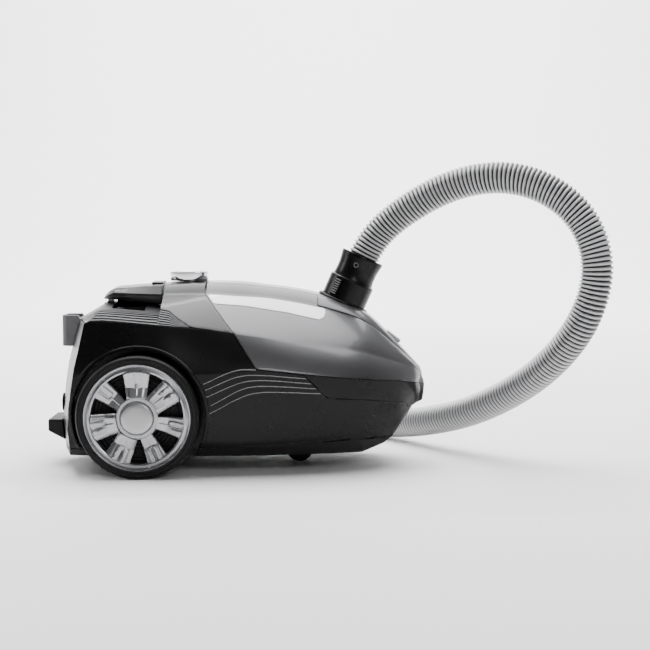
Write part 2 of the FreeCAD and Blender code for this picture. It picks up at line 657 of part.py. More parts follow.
def cuff_body():
    """The hose's end piece: a wide foot, a waist and a flared lip."""
    profile = [(CUFF_SPIGOT_R, -20), (CUFF_SPIGOT_R, 0), (CUFF_R, 0), (CUFF_R, CUFF_STEP),
               (CUFF_WAIST_R + 1, CUFF_STEP + 1.5), (CUFF_WAIST_R, CUFF_STEP + 14),
               (CUFF_LIP_R, CUFF_LENGTH - 3), (CUFF_LIP_R, CUFF_LENGTH),
               (HOSE_R + SLIP, CUFF_LENGTH), (HOSE_R + SLIP, HOSE_SEAT),
               (HOSE_R - HOSE_WALL, HOSE_SEAT), (HOSE_R - HOSE_WALL, -20)]
    corners = [FreeCAD.Vector(r, 0, s) for r, s in profile]
    shape = Part.Face(Part.makePolygon(corners + corners[:1])).revolve(
        FreeCAD.Vector(0, 0, 0), Z_AXIS, 360)
    for side in (-1, 1):
        pocket = button_block(side, 20.9, 40, BUTTON_LENGTH + 2 * SLIP, BUTTON_WIDTH + 2 * SLIP,
                              3.0 - SLIP)
        shape = shape.cut(pocket)
    return cuff_frame(shape)


def cuff_button(side):
    """A ribbed release button on the cuff."""
    shape = button_block(side, 23.4, 27.6, BUTTON_LENGTH, BUTTON_WIDTH, 3.0)
    for count in range(6):
        rib = button_block(side, 27.0, 28.6, 1.8, BUTTON_WIDTH, 3.6 + count * 3.6)
        shape = shape.fuse(rib)
    return cuff_frame(shape.removeSplitter())


# ---- hose and its handle ----
def rounded_path(points):
    """Straight runs joined by arcs as large as the two runs beside them allow."""
    corners = [FreeCAD.Vector(*p) for p in points]
    edges = []
    radii = []
    start = corners[0]
    for before, here, after in zip(corners, corners[1:], corners[2:]):
        back = (before - here).normalize()
        ahead = (after - here).normalize()
        half_turn = (math.pi - back.getAngle(ahead)) / 2
        reach = 0.45 * min((before - here).Length, (after - here).Length)
        radius = reach / math.tan(half_turn)
        radii.append(radius)
        a = here + back * reach
        b = here + ahead * reach
        inward = (back + ahead).normalize()
        middle = here + inward * (radius / math.cos(half_turn) - radius)
        edges.append(Part.LineSegment(start, a).toShape())
        edges.append(Part.Arc(a, middle, b).toShape())
        start = b
    edges.append(Part.LineSegment(start, corners[-1]).toShape())
    return Part.Wire(edges), radii


def hose_start():
    """The first point of the hose, seated inside the cuff."""
    return on_cuff(HOSE_SEAT + SLIP)


def hose():
    """The flexible hose as a plain tube along its route."""
    route = [hose_start()] + HOSE_ROUTE[1:]
    path, radii = rounded_path(route)
    heading = FreeCAD.Vector(*route[1]) - FreeCAD.Vector(*route[0])
    solids = []
    for radius in (HOSE_R, HOSE_R - HOSE_WALL):
        ring = Part.Wire(Part.makeCircle(radius, FreeCAD.Vector(*route[0]), heading))
        solids.append(path.makePipeShell([ring], True, False))
    tube = solids[0].cut(solids[1])
    section = math.pi * (HOSE_R ** 2 - (HOSE_R - HOSE_WALL) ** 2)
    print("hose length %.0f" % path.Length, "volume ratio %.4f" % (tube.Volume / section / path.Length))
    print("hose radii", [round(r) for r in radii])
    return tube


def handle_cuff():
    """The ring that holds the hose in the handle."""
    x, y, z = HOSE_ROUTE[-1]
    hold = pipe(HANDLE_RING_R, HOSE_R + SLIP, (x - 22, y, z), (x + 1, y, z))
    stop = pipe(HANDLE_RING_R, HOSE_R - HOSE_WALL, (x + 1, y, z), (x + 6, y, z))
    return joined(hold, stop)


def handle_path(start_offset):
    """The middle line of the bent handle."""
    x, y, z = HOSE_ROUTE[-1]
    x += start_offset
    bend = math.radians(HANDLE_BEND)
    knee = FreeCAD.Vector(x + HANDLE_NECK, y, z)
    middle = knee + FreeCAD.Vector(HANDLE_BEND_R * math.sin(bend / 2),
                                   -HANDLE_BEND_R * (1 - math.cos(bend / 2)), 0)
    after = knee + FreeCAD.Vector(HANDLE_BEND_R * math.sin(bend),
                                  -HANDLE_BEND_R * (1 - math.cos(bend)), 0)
    way = FreeCAD.Vector(math.cos(bend), -math.sin(bend), 0)
    end = after + way * HANDLE_GRIP
    edges = [Part.LineSegment(FreeCAD.Vector(x, y, z), knee).toShape(),
             Part.Arc(knee, middle, after).toShape(), Part.LineSegment(after, end).toShape()]
    return Part.Wire(edges), end, way


def handle_grip():
    """The bent hand grip with its air slot and the socket for the wand."""
    x, y, z = HOSE_ROUTE[-1]
    start = 6.0 + SLIP
    path, end, way = handle_path(start)
    base = FreeCAD.Vector(x + start, y, z)
    solids = []
    for radius in (HANDLE_R, WAND_R - 2.0):
        ring = Part.Wire(Part.makeCircle(radius, base, X_AXIS))
        solids.append(path.makePipeShell([ring], True, False))
    shape = solids[0].cut(solids[1])
    ring = Part.makeCylinder(HANDLE_RING_R, 14, end - way * 14, way)
    shape = shape.fuse(ring).cut(Part.makeCylinder(WAND_R, WAND_DEPTH, end - way * WAND_DEPTH, way))
    shape = shape.cut(Part.makeCylinder(WAND_R - 2.0, 60, end - way * 60, way))
    relief = end - way * (WAND_DEPTH + WAND_RELIEF)
    shape = shape.cut(Part.makeCylinder(WAND_R + SLIP, WAND_RELIEF, relief, way))
    slot = block(SLIDER_X[0] + 8, SLIDER_X[1] - 4, y - 4, y + 4, z + 10, z + 30)
    return shape.cut(slot).removeSplitter()


def suction_slider():
    """The slide on the handle that opens the air slot."""
    x, y, z = HOSE_ROUTE[-1]
    ring = pipe(HANDLE_R + SLIP + 2, HANDLE_R + SLIP, (SLIDER_X[0], y, z), (SLIDER_X[1], y, z))
    wedge = front_prism([(y, z), (y + 20, z + 30), (y - 20, z + 30)], SLIDER_X[0], SLIDER_X[1])
    return ring.common(wedge)


# ---- wheels ----
def wheel_tyre(side):
    """A rubber tyre with rounded shoulders."""
    profile = [(TYRE_INNER_R, WHEEL_IN), (WHEEL_R - 3, WHEEL_IN), (WHEEL_R, WHEEL_IN + 3),
               (WHEEL_R, TYRE_OUT - 4), (WHEEL_R - 3, TYRE_OUT), (TYRE_INNER_R, TYRE_OUT)]
    return turned(profile, side)


def turned(profile, side):
    """A (radius, distance) profile turned about the wheels' axle on one side."""
    corners = [FreeCAD.Vector(WHEEL_X + r, side * y, WHEEL_Z) for r, y in profile]
    face = Part.Face(Part.makePolygon(corners + corners[:1]))
    return face.revolve(FreeCAD.Vector(WHEEL_X, 0, WHEEL_Z), Y_AXIS, 360)


def wheel_rim(side):
    """The rim: a barrel, a plate with seven spokes and a hub on the axle."""
    barrel = turned([(TYRE_INNER_R - 3, WHEEL_IN), (TYRE_INNER_R - SLIP / 3, WHEEL_IN),
                     (TYRE_INNER_R - SLIP / 3, RIM_OUT), (TYRE_INNER_R - 3, RIM_OUT)], side)
    plate = turned([(AXLE_R + RUNNING, RIM_OUT - RIM_PLATE - 2), (TYRE_INNER_R - 2, RIM_OUT - RIM_PLATE - 2),
                    (TYRE_INNER_R - 2, RIM_OUT - 2), (AXLE_R + RUNNING, RIM_OUT - 2)], side)
    hub = turned([(AXLE_R + RUNNING, WHEEL_IN), (AXLE_R + 6, WHEEL_IN), (AXLE_R + 6, RIM_OUT - 4),
                  (AXLE_R + RUNNING, RIM_OUT - 4)], side)
    ring = turned([(CAP_R + SLIP, RIM_OUT - 4), (HUB_R, RIM_OUT - 4), (HUB_R, RIM_OUT),
                   (CAP_R + SLIP, RIM_OUT)], side)
    inner, outer = WINDOW_R
    window = []
    half_step = math.pi / SPOKES
    for radius, width in ((inner, SPOKE_WIDTH[0]), (outer, SPOKE_WIDTH[1])):
        half_spoke = math.asin(width / 2 / radius)
        window.append((radius, half_spoke, 2 * half_step - half_spoke))
    (r0, a0, a1), (r1, b0, b1) = window
    points = [(r0, a0), (r1, b0), (r1 * 1.01, (2 * b0 + b1) / 3), (r1 * 1.01, (b0 + 2 * b1) / 3),
              (r1, b1), (r0, a1)]
    corners = [(WHEEL_X + r * math.sin(a), WHEEL_Z + r * math.cos(a)) for r, a in points]
    cutter = side_prism(corners)
    shape = joined(barrel, plate, hub, ring)
    for count in range(SPOKES):
        turned_cutter = cutter.copy()
        turned_cutter.rotate(FreeCAD.Vector(WHEEL_X, 0, WHEEL_Z), Y_AXIS, count * 360 / SPOKES)
        shape = shape.cut(turned_cutter)
    return shape


def hub_cap(side):
    """The round cap in the middle of a wheel."""
    return turned([(0, RIM_OUT - 1.7), (CAP_R, RIM_OUT - 1.7), (CAP_R, CAP_OUT - 1),
                   (CAP_R - 1, CAP_OUT), (0, CAP_OUT)], side)


def wheel_axles():
    """The steel stubs that the wheels turn on, pressed into the wells' hubs."""
    stub = rod(AXLE_R, (WHEEL_X, WELL_WALL - 12, WHEEL_Z), (WHEEL_X, RIM_OUT - 2.2, WHEEL_Z))
    return Part.makeCompound([stub, mirrored(stub)])


def caster_fork():
    """The swivelling fork of the front caster."""
    wheel_x = CASTER_X - CASTER_TRAIL
    disc = rod(15.0, (CASTER_X, 0, 39.5), (CASTER_X, 0, 43.4))
    stem = rod(CASTER_STEM_R, (CASTER_X, 0, 43.4), (CASTER_X, 0, 58))
    outline = [(CASTER_X + 8, 39.7), (CASTER_X - 13, 39.7), (wheel_x - 5, 14), (wheel_x, 10),
               (wheel_x + 5, 13)]
    plate = side_prism(outline, CASTER_HALF_WIDTH + 3).cut(
        side_prism(outline, CASTER_HALF_WIDTH + 0.6))
    bore = rod(CASTER_PIN_R, (wheel_x, -20, CASTER_R), (wheel_x, 20, CASTER_R))
    return joined(disc, stem, plate).cut(bore)


def caster_wheel():
    wheel_x = CASTER_X - CASTER_TRAIL
    w = CASTER_HALF_WIDTH
    tyre = rod(CASTER_R, (wheel_x, -w, CASTER_R), (wheel_x, w, CASTER_R))
    edges = [e for e in tyre.Edges if e.Curve.TypeId == "Part::GeomCircle"]
    tyre = tyre.makeFillet(2.0, edges)
    return tyre.cut(rod(CASTER_PIN_R + RUNNING, (wheel_x, -w - 1, CASTER_R), (wheel_x, w + 1, CASTER_R)))


def caster_pin():
    wheel_x = CASTER_X - CASTER_TRAIL
    reach = CASTER_HALF_WIDTH + 3
    return rod(CASTER_PIN_R, (wheel_x, -reach, CASTER_R), (wheel_x, reach, CASTER_R))


# ---- knob and electronics ----
def power_knob():
    """The knob with its stem and the shaft that turns the regulator."""
    cap = rod(KNOB_R, (KNOB_X, 0, KNOB_BOTTOM), (KNOB_X, 0, KNOB_TOP))
    rim = [e for e in cap.Edges if e.BoundBox.ZMin > KNOB_TOP - 1]
    cap = cap.makeFillet(1.2, rim)
    stem = rod(KNOB_STEM_R, (KNOB_X, 0, 207), (KNOB_X, 0, KNOB_BOTTOM))
    shaft = rod(KNOB_SHAFT_R, (KNOB_X, 0, 199), (KNOB_X, 0, 207))
    return joined(cap, stem, shaft)


def control_board():
    return block(KNOB_X - 24, KNOB_X + 18, -30, 30, BOARD_Z, BOARD_Z + 1.6)


def potentiometer():
    """The regulator under the knob, soldered to the board."""
    body = rod(9.0, (KNOB_X, 0, BOARD_Z + 1.8), (KNOB_X, 0, 206))
    return body.cut(rod(KNOB_SHAFT_R + RUNNING, (KNOB_X, 0, 198.6), (KNOB_X, 0, 220)))


# ---- bag and filters ----
def bag_plate():
    """The card plate of the bag, square to the inlet."""
    plate = block(-36, 36, -45, 45, -28, -25.3).cut(rod(18, (0, 0, -40), (0, 0, 0)))
    return cuff_frame(plate)


def bag_holder():
    """The frame that the plate slides into, on two legs from the pan."""
    frame = block(-38, 38, -50, 50, -31, -28.3).cut(rod(26, (0, 0, -40), (0, 0, 0)))
    legs = []
    for side in (-1, 1):
        y = side * 46
        legs.append(block(112, 121, min(y, y + side * 4), max(y, y + side * 4), PAN_FLOOR + SLIP, 168.5))
    return joined(cuff_frame(frame), *legs)


def dust_bag():
    """The filled bag: a rounded block with a neck up to its plate."""
    body = block(42, 108, -66, 66, 64, 158)
    body = body.makeFillet(18.0, body.Edges)
    neck = rod(20.0, on_cuff(-52), on_cuff(-28 - SLIP))
    return body.fuse(neck).removeSplitter()


def filter_frame():
    """The frame on the partition that holds the foam in front of the motor."""
    x0 = PARTITION_X + WALL + SLIP
    y, z = MOTOR_Y, MOTOR_Z
    frame = block(x0, x0 + 13, y - 50, y + 50, z - 50, z + 50).cut(
        block(x0 - 1, x0 + 11, y - 45, y + 45, z - 45, z + 45))
    grid = []
    for count in range(5):
        low = z - 41 + count * 17.5
        grid.append(block(x0 + 10, x0 + 20, y - 43, y + 43, low, low + 12))
    return frame.cut(Part.makeCompound(grid))


def motor_filter():
    x0 = PARTITION_X + WALL + 2 * SLIP
    y, z = MOTOR_Y, MOTOR_Z
    return block(x0, x0 + 10, y - 44.7, y + 44.7, z - 44.7, z + 44.7)


# ---- motor ----
def along_motor(profile):
    """An (x, radius) profile turned about the motor's shaft."""
    corners = [FreeCAD.Vector(x, MOTOR_Y, MOTOR_Z + r) for x, r in profile]
    face = Part.Face(Part.makePolygon(corners + corners[:1]))
    return face.revolve(FreeCAD.Vector(0, MOTOR_Y, MOTOR_Z), X_AXIS, 360)


def motor_housing():
    """The sound case round the motor, on the partition and two feet."""
    r = MOTOR_CASE_R
    case = along_motor([(-76, 16), (-76, r), (14, r), (14, r + 5), (PARTITION_X - SLIP, r + 5),
                        (PARTITION_X - SLIP, r - 4), (10, r - 4), (10, r - 2), (-74, r - 2), (-74, 16)])
    feet = []
    for x in (-66, 0):
        foot = block(x, x + 5, MOTOR_Y - 25, MOTOR_Y + 25, PAN_FLOOR + SLIP, MOTOR_Z - 40)
        feet.append(foot.cut(rod(r - 1, (-90, MOTOR_Y, MOTOR_Z), (30, MOTOR_Y, MOTOR_Z))))
    return joined(case, *feet)


def motor_can():
    """The steel can with the bearing seat at the back and the fan's plate in front."""
    r = MOTOR_CAN_R
    seat = BEARING_R + 0.02
    return along_motor([(-66, 5), (-66, seat + 2), (-62, r), (-17, r), (-17, FAN_COVER_R - 1.8),
                        (-15, FAN_COVER_R - 1.8), (-15, seat), (-20, seat), (-20, seat + 2),
                        (-18.5, seat + 2), (-18.5, r - 2), (-60.5, r - 2), (-60.5, seat + 2),
                        (-58, seat + 2), (-58, seat), (-64, seat), (-64, 5)])


def stator():
    return along_motor([(-54, 23), (-54, MOTOR_CAN_R - 2.2), (-24, MOTOR_CAN_R - 2.2), (-24, 23)])


def rotor():
    """The shaft with its armature and commutator."""
    r = SHAFT_R
    return along_motor([(-64, 0), (-64, r), (-57, r), (-57, 12), (-54, 12), (-54, 21), (-26, 21),
                        (-26, r), (6, r), (6, 0)])


def motor_bearings():
    rear = along_motor([(-63.8, SHAFT_R + 0.02), (-63.8, BEARING_R), (-58, BEARING_R),
                        (-58, SHAFT_R + 0.02)])
    front = along_motor([(-20, SHAFT_R + 0.02), (-20, BEARING_R), (-15.2, BEARING_R),
                         (-15.2, SHAFT_R + 0.02)])
    return Part.makeCompound([rear, front])


def fan():
    """The fan: two discs with curved blades between them, on the shaft."""
    back = along_motor([(-12, SHAFT_R), (-12, 42), (-11, 42), (-11, 10), (4, 8), (4, SHAFT_R)])
    front = along_motor([(-3, 16), (-3, 42), (-2, 42), (-2, 16)])
    blades = []
    for count in range(9):
        outer = Part.makeCylinder(30, 8.4, FreeCAD.Vector(-11.2, 0, 20), X_AXIS)
        inner = Part.makeCylinder(28.8, 8.4, FreeCAD.Vector(-11.2, 0, 20), X_AXIS)
        keep = block(-12, 0, 4, 60, -20, 60)
        blade = outer.cut(inner).common(keep).common(
            pipe(41.5, 17, (-12, 0, 0), (0, 0, 0)))
        blade.rotate(FreeCAD.Vector(0, 0, 0), X_AXIS, count * 40)
        blade.translate(FreeCAD.Vector(0, MOTOR_Y, MOTOR_Z))
        blades.append(blade)
    return joined(back, front, *blades)


def fan_cover():
    r = FAN_COVER_R
    return along_motor([(-17, r - 1.5), (-17, r), (2, r), (6, r - 4), (6, 15), (4.5, 15),
                        (4.5, r - 5), (1.4, r - 1.5)])


def front_motor_mount():
    """The rubber ring between the fan's cover and the sound case."""
    r = FAN_COVER_R
    return along_motor([(-4, r + SLIP), (-4, r + 3.7), (9.6, r + 3.7), (9.6, r - 8), (6.3, r - 8),
                        (6.3, r - 3), (2.3, r + SLIP)])


def rear_motor_mount():
    """The rubber cup between the can's back and the sound case."""
    return along_motor([(-73.7, 16.3), (-73.7, 24), (-66.8, 24), (-66.4, 14), (-66.4, 11.4),
                        (-68.3, 11.4)])


def motor_mounts():
    return Part.makeCompound([front_motor_mount(), rear_motor_mount()])


# ---- cord reel ----
def along_reel(profile):
    """A (y, radius) profile turned about the reel's axle."""
    corners = [FreeCAD.Vector(REEL_X, y, REEL_Z + r) for y, r in profile]
    face = Part.Face(Part.makePolygon(corners + corners[:1]))
    return face.revolve(FreeCAD.Vector(REEL_X, 0, REEL_Z), Y_AXIS, 360)


def cord_reel():
    """The drum that the cord winds on."""
    a, b = REEL_Y
    bore = REEL_AXLE_R + RUNNING
    return along_reel([(a, bore), (a, REEL_R), (a + 2, REEL_R), (a + 2, 28), (b - 2, 28),
                       (b - 2, REEL_R), (b, REEL_R), (b, 26), (a + 4, 26), (a + 4, 12), (b, 12),
                       (b, bore)])


def reel_spring_case():
    """The flat case of the rewind spring beside the drum."""
    near = REEL_Y[0] - 1.5
    far = near - 12.0
    bore = REEL_AXLE_R + SLIP
    return along_reel([(far, bore), (far, 40), (near, 40), (near, bore)])


def reel_bracket():
    """The stand on both sides of the drum, with the axle pressed into it."""
    low = PAN_FLOOR + SLIP
    far, near = REEL_Y[0] - 14.5, REEL_Y[1] + 1.5
    outline = [(REEL_X - 30, low), (REEL_X + 30, low), (REEL_X + 12, REEL_Z + 12),
               (REEL_X - 12, REEL_Z + 12)]
    plate = side_prism(outline)
    outer = plate.common(block(-REACH, REACH, far - 4, far, 0, REACH))
    inner = plate.common(block(-REACH, REACH, near, near + 4, 0, REACH))
    base = block(REEL_X - 30, REEL_X + 30, far - 4, near + 4, low, low + 3)
    axle = rod(REEL_AXLE_R, (REEL_X, far - 2, REEL_Z), (REEL_X, near + 2, REEL_Z))
    return joined(outer, inner, base, axle)


PARTS = {
    "lower_housing": lower_housing,
    "bottom_pan": bottom_pan,
    "housing_screws": housing_screws,
    "front_bumper": front_bumper,
    "rear_cover": rear_cover,
    "exhaust_grille": exhaust_grille,
    "exhaust_filter": exhaust_filter,
    "carry_handle": carry_handle,
    "parking_socket": parking_socket,
    "rear_foot": rear_foot,
    "cord_outlet": cord_outlet,
    "lid_shell": lid_shell,
    "lid_centre_panel": lid_centre_panel,
    "lid_trims": lid_trims,
    "lid_seal": lid_seal,
    "hinge_pin": hinge_pins,
    "lid_latch": lid_latch,
    "latch_spring": latch_spring,
    "inlet_collar": inlet_collar,
    "inlet_seal": inlet_seal,
    "cuff_body": cuff_body,
    "hose": hose,
    "handle_cuff": handle_cuff,
    "handle_grip": handle_grip,
    "suction_slider": suction_slider,
    "wheel_axles": wheel_axles,
    "caster_fork": caster_fork,
    "caster_wheel": caster_wheel,
    "caster_pin": caster_pin,
    "power_knob": power_knob,
    "control_board": control_board,
    "potentiometer": potentiometer,
    "bag_plate": bag_plate,
    "bag_holder": bag_holder,
    "dust_bag": dust_bag,
    "filter_frame": filter_frame,
    "motor_filter": motor_filter,
    "motor_housing": motor_housing,
    "motor_can": motor_can,
    "stator": stator,
    "rotor": rotor,
    "motor_bearings": motor_bearings,
    "fan": fan,
    "fan_cover": fan_cover,
    "motor_mounts": motor_mounts,
    "cord_reel": cord_reel,
    "reel_spring_case": reel_spring_case,
    "reel_bracket": reel_bracket,
}
SIDED_PARTS = {
    "cuff_button": cuff_button,
    "tyre": wheel_tyre,
    "rim": wheel_rim,
    "hub_cap": hub_cap,
}

os.makedirs("parts", exist_ok=True)
shapes = {name: make() for name, make in PARTS.items()}
for name, make in SIDED_PARTS.items():
    shapes["right_" + name] = make(-1)
    shapes["left_" + name] = make(1)
shapes["on_off_button"] = pedal(-1)
shapes["on_off_spring"] = pedal_spring(-1)
shapes["rewind_button"] = pedal(1)
shapes["rewind_spring"] = pedal_spring(1)
for name, shape in shapes.items():
    print(name, len(shape.Solids), shape.isValid(), round(shape.Volume))
    shape.exportStep("parts/" + name + ".step")
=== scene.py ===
import math

import bmesh
import bpy
import numpy as np
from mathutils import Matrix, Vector


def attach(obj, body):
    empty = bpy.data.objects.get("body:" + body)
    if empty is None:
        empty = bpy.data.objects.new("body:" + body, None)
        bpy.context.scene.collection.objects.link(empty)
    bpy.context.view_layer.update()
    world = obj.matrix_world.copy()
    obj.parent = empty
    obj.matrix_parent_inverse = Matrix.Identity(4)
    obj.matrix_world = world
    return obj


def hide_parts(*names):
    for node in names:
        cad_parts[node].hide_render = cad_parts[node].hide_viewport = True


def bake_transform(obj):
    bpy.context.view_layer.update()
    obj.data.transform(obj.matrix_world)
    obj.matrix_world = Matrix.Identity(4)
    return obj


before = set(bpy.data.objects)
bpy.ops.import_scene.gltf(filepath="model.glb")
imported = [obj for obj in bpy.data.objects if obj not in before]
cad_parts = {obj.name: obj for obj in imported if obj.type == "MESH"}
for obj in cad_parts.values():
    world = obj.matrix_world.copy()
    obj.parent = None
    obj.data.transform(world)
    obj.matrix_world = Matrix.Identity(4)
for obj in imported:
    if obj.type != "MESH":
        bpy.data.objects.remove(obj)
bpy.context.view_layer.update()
MM = 0.001

# ---- sizes, in millimetres, in the frame's own axes ----
WHEEL_X = -107.3
WHEEL_Z = 71.0
WHEEL_R = 71.0
ARCH_R = 77.8
SPOKES = 7
CUFF_TILT = math.radians(23.8)
CUFF_BASE = (129.4, 0.0, 196.6)
KNOB_X = -58.6
HOSE_R = 19.0
HOSE_PITCH = 5.2
HUMP_FOOT = -87.0       # stations at the foot and the top of the step in front of the knob
HUMP_TOP = -84.6

# hull stations: x, then height of the top, (y, z) of the ridge, the crease, the widest line and
# the sill, and the height of the floor
STATIONS = np.array([
    (-215.0, 200.0, 70.0, 193.0, 108.0, 178.0, 112.0, 120.0, 106.0, 40.0, 22.0),
    (-150.0, 196.0, 62.0, 190.0, 116.0, 181.0, 131.0, 120.0, 124.0, 40.0, 22.0),
    (-107.0, 194.0, 60.0, 187.0, 118.0, 178.0, 134.0, 120.0, 126.0, 40.0, 22.0),
    (-87.0, 193.0, 58.0, 186.0, 118.0, 176.0, 134.0, 121.0, 126.0, 40.0, 22.0),
    (-84.6, 219.0, 50.0, 207.0, 116.0, 175.5, 134.0, 121.0, 126.0, 40.0, 22.0),
    (-34.0, 221.0, 48.0, 208.0, 112.0, 171.0, 132.0, 122.0, 123.0, 40.0, 22.0),
    (2.0, 220.5, 48.0, 206.0, 109.0, 165.0, 130.0, 124.0, 120.0, 40.0, 22.0),
    (34.0, 217.0, 47.0, 204.0, 106.0, 160.5, 127.0, 125.5, 116.0, 40.0, 22.0),
    (73.0, 212.0, 46.0, 198.0, 100.0, 153.5, 121.0, 121.0, 109.0, 42.0, 22.0),
    (116.0, 202.0, 44.0, 188.0, 90.0, 146.5, 111.0, 115.5, 99.0, 45.0, 22.0),
    (151.0, 187.5, 41.0, 176.0, 78.0, 140.0, 97.0, 111.5, 86.0, 49.0, 22.0),
    (191.5, 151.0, 34.0, 145.0, 56.0, 127.0, 70.0, 107.5, 61.0, 62.0, 36.0),
    (212.0, 128.0, 25.0, 125.0, 38.0, 119.0, 47.0, 104.0, 42.0, 82.0, 68.0),
    (228.0, 110.0, 8.0, 108.0, 13.0, 104.0, 17.0, 98.0, 15.0, 86.0, 76.0),
])
CROWN_WIDTH = 0.65
CROWN_DROP = 0.12
FLOOR_WIDTH = 0.86
REAR_FLAT = 30.0        # half width of the back that is square; outside it the back sweeps forwards
REAR_SWEEP = 0.23
BULGE = np.array([0.0, 1.2, 2.6, 1.6, 1.5, 0.8, 0.0])   # how far each face of the hull bows out
REAR_OUTLINE = ([22.0, 55.5, 99.0, 125.0, 177.0, 195.0],
                [-205.8, -209.5, -206.0, -202.0, -189.0, -159.0])
FRONT_OUTLINE = ([22.0, 25.0, 31.0, 38.0, 74.5, 77.0, 88.0, 98.0, 105.0, 116.0, 118.0],
                 [168.0, 171.0, 177.0, 186.0, 212.0, 224.0, 227.0, 227.7, 224.7, 222.6, 240.0])
ROWS = np.concatenate([np.linspace(k, k + 1, n, endpoint=False)
                       for k, n in enumerate((3, 8, 14, 24, 28, 6, 3))] + [[7.0]])
RIDGE_ROW = 2.0

# where the shells part, seen from the side
LID_REAR = ([-34.3, 2.0, 28.5], [207.0, 165.0, 126.0])
LID_EDGE = ([28.5, 102.0, 150.0, 195.0, 240.0], [126.0, 117.0, 111.5, 107.0, 95.0])
GRILLE_EDGE = ([-230.0, -189.0, -149.0, -103.0, -49.0, -47.0, 2.0],
               [178.3, 178.3, 181.3, 177.3, 172.6, 172.8, 165.0])
COVER_EDGE = ([-90.0, -74.0, -66.0, -47.5, 1.0], [192.8, 190.0, 184.0, 173.2, 165.2])
BUMPER_EDGE = ([84.2, 109.3, 120.0, 160.0, 200.0, 213.0, 240.0],
               [117.7, 91.4, 90.4, 86.4, 79.4, 75.0, 73.0])
PAN_EDGE = ([-230.0, -40.0, 123.0, 240.0], [31.4, 31.4, 38.4, 38.4])

# route of the hose, the same points as its solid
HOSE_ROUTE = [
    (145.7, 0.0, 233.5), (160.9, 0.0, 268.0), (196.0, -8.0, 303.0), (258.0, -28.0, 339.0),
    (320.0, -52.0, 349.0), (374.0, -74.0, 331.0), (412.0, -88.0, 293.0), (426.0, -95.0, 240.0),
    (413.0, -90.0, 184.0), (387.0, -64.0, 137.0), (349.0, -20.0, 94.0), (293.0, 46.0, 54.0),
    (236.0, 120.0, 31.0), (190.0, 190.0, 19.5), (115.0, 262.0, 19.5), (20.0, 300.0, 19.5),
    (-128.0, 302.0, 19.5), (-224.0, 397.0, 19.5), (-225.0, 533.0, 20.0), (-135.0, 636.0, 22.5),
    (-38.0, 636.0, 22.5),
]


# ---- camera: focal length in millimetres, place in metres and tilt downwards in degrees ----
CAMERA_LENS = 86.2
CAMERA_PLACE = (0.107, -1.9, 0.308)
CAMERA_TILT = 4.24


# ---- materials ----
def linear(hex_code):
    """An sRGB hex colour as linear red, green, blue and alpha."""
    parts = np.array([int(hex_code[k:k + 2], 16) for k in (1, 3, 5)]) / 255
    low = parts / 12.92
    high = ((parts + 0.055) / 1.055) ** 2.4
    return (*np.where(parts <= 0.04045, low, high), 1.0)


def add(tree, kind, links=None, **settings):
    """Adds a node, sets its values and feeds its inputs from sockets or numbers."""
    node = tree.nodes.new(kind)
    for key, value in settings.items():
        setattr(node, key, value)
    for key, value in (links or {}).items():
        if isinstance(value, bpy.types.NodeSocket):
            tree.links.new(value, node.inputs[key])
        else:
            node.inputs[key].default_value = value
    return node


def finish(name, colour, roughness, metallic=0.0, ior=1.5, coat=0.0, grain_mm=1.0, grain_depth=0.02,
           mottle=0.06, coat_roughness=0.05):
    """A material with a fine grain in its bump and a faint mottle in colour and roughness."""
    material = bpy.data.materials.new(name)
    material.use_nodes = True
    tree = material.node_tree
    tree.nodes.clear()
    place = add(tree, "ShaderNodeTexCoord").outputs["Object"]
    grain = add(tree, "ShaderNodeTexNoise", {"Vector": place, "Scale": 1 / (grain_mm * MM),
                                             "Detail": 3.0})
    wide = add(tree, "ShaderNodeTexNoise", {"Vector": place, "Scale": 1 / (35 * MM), "Detail": 4.0})
    base = linear(colour)
    dark = tuple(c * (1 - mottle) for c in base[:3]) + (1.0,)
    light = tuple(min(1.0, c * (1 + mottle)) for c in base[:3]) + (1.0,)
    tint = add(tree, "ShaderNodeMix", {0: wide.outputs["Fac"], 6: dark, 7: light}, data_type="RGBA")
    rough = add(tree, "ShaderNodeMapRange", {"Value": wide.outputs["Fac"],
                                             "To Min": roughness * 0.85, "To Max": roughness * 1.15})
    bump = add(tree, "ShaderNodeBump", {"Height": grain.outputs["Fac"], "Strength": 0.5,
                                        "Distance": grain_depth * MM})
    shader = add(tree, "ShaderNodeBsdfPrincipled", {
        "Base Color": tint.outputs[2], "Roughness": rough.outputs["Result"], "Metallic": metallic,
        "IOR": ior, "Coat Weight": coat, "Coat Roughness": coat_roughness,
        "Normal": bump.outputs["Normal"]})
    out = add(tree, "ShaderNodeOutputMaterial", {"Surface": shader.outputs["BSDF"]})
    out.location = (400, 0)
    return material


# polished moulded ABS: deep black, sharp soft-edged reflections, a trace of orange peel
black_abs = finish("black_abs", "#0b0b0c", 0.28, ior=1.24, coat=0.03, grain_mm=6.0, grain_depth=0.02)
# black polypropylene from a spark-eroded mould: fine even texture, satin
black_pp = finish("black_pp", "#0e0e0f", 0.5, ior=1.3, grain_mm=0.7, grain_depth=0.08)
# metallic grey paint under clear lacquer: flakes give a soft, directional glow
grey_paint = finish("grey_paint", "#565658", 0.36, metallic=0.8, coat=0.35, grain_mm=0.5,
                    grain_depth=0.015, mottle=0.03, coat_roughness=0.12)
# the same paint in a darker shade, on the cover behind the lid and on the grip
dark_paint = finish("dark_paint", "#262628", 0.36, metallic=0.5, coat=0.15, grain_mm=0.5,
                    grain_depth=0.015, mottle=0.03, coat_roughness=0.12)
# silver paint on the trims and the wheels
silver_paint = finish("silver_paint", "#a4a4a7", 0.3, metallic=0.9, coat=0.3, grain_mm=0.5,
                      grain_depth=0.01, mottle=0.03)
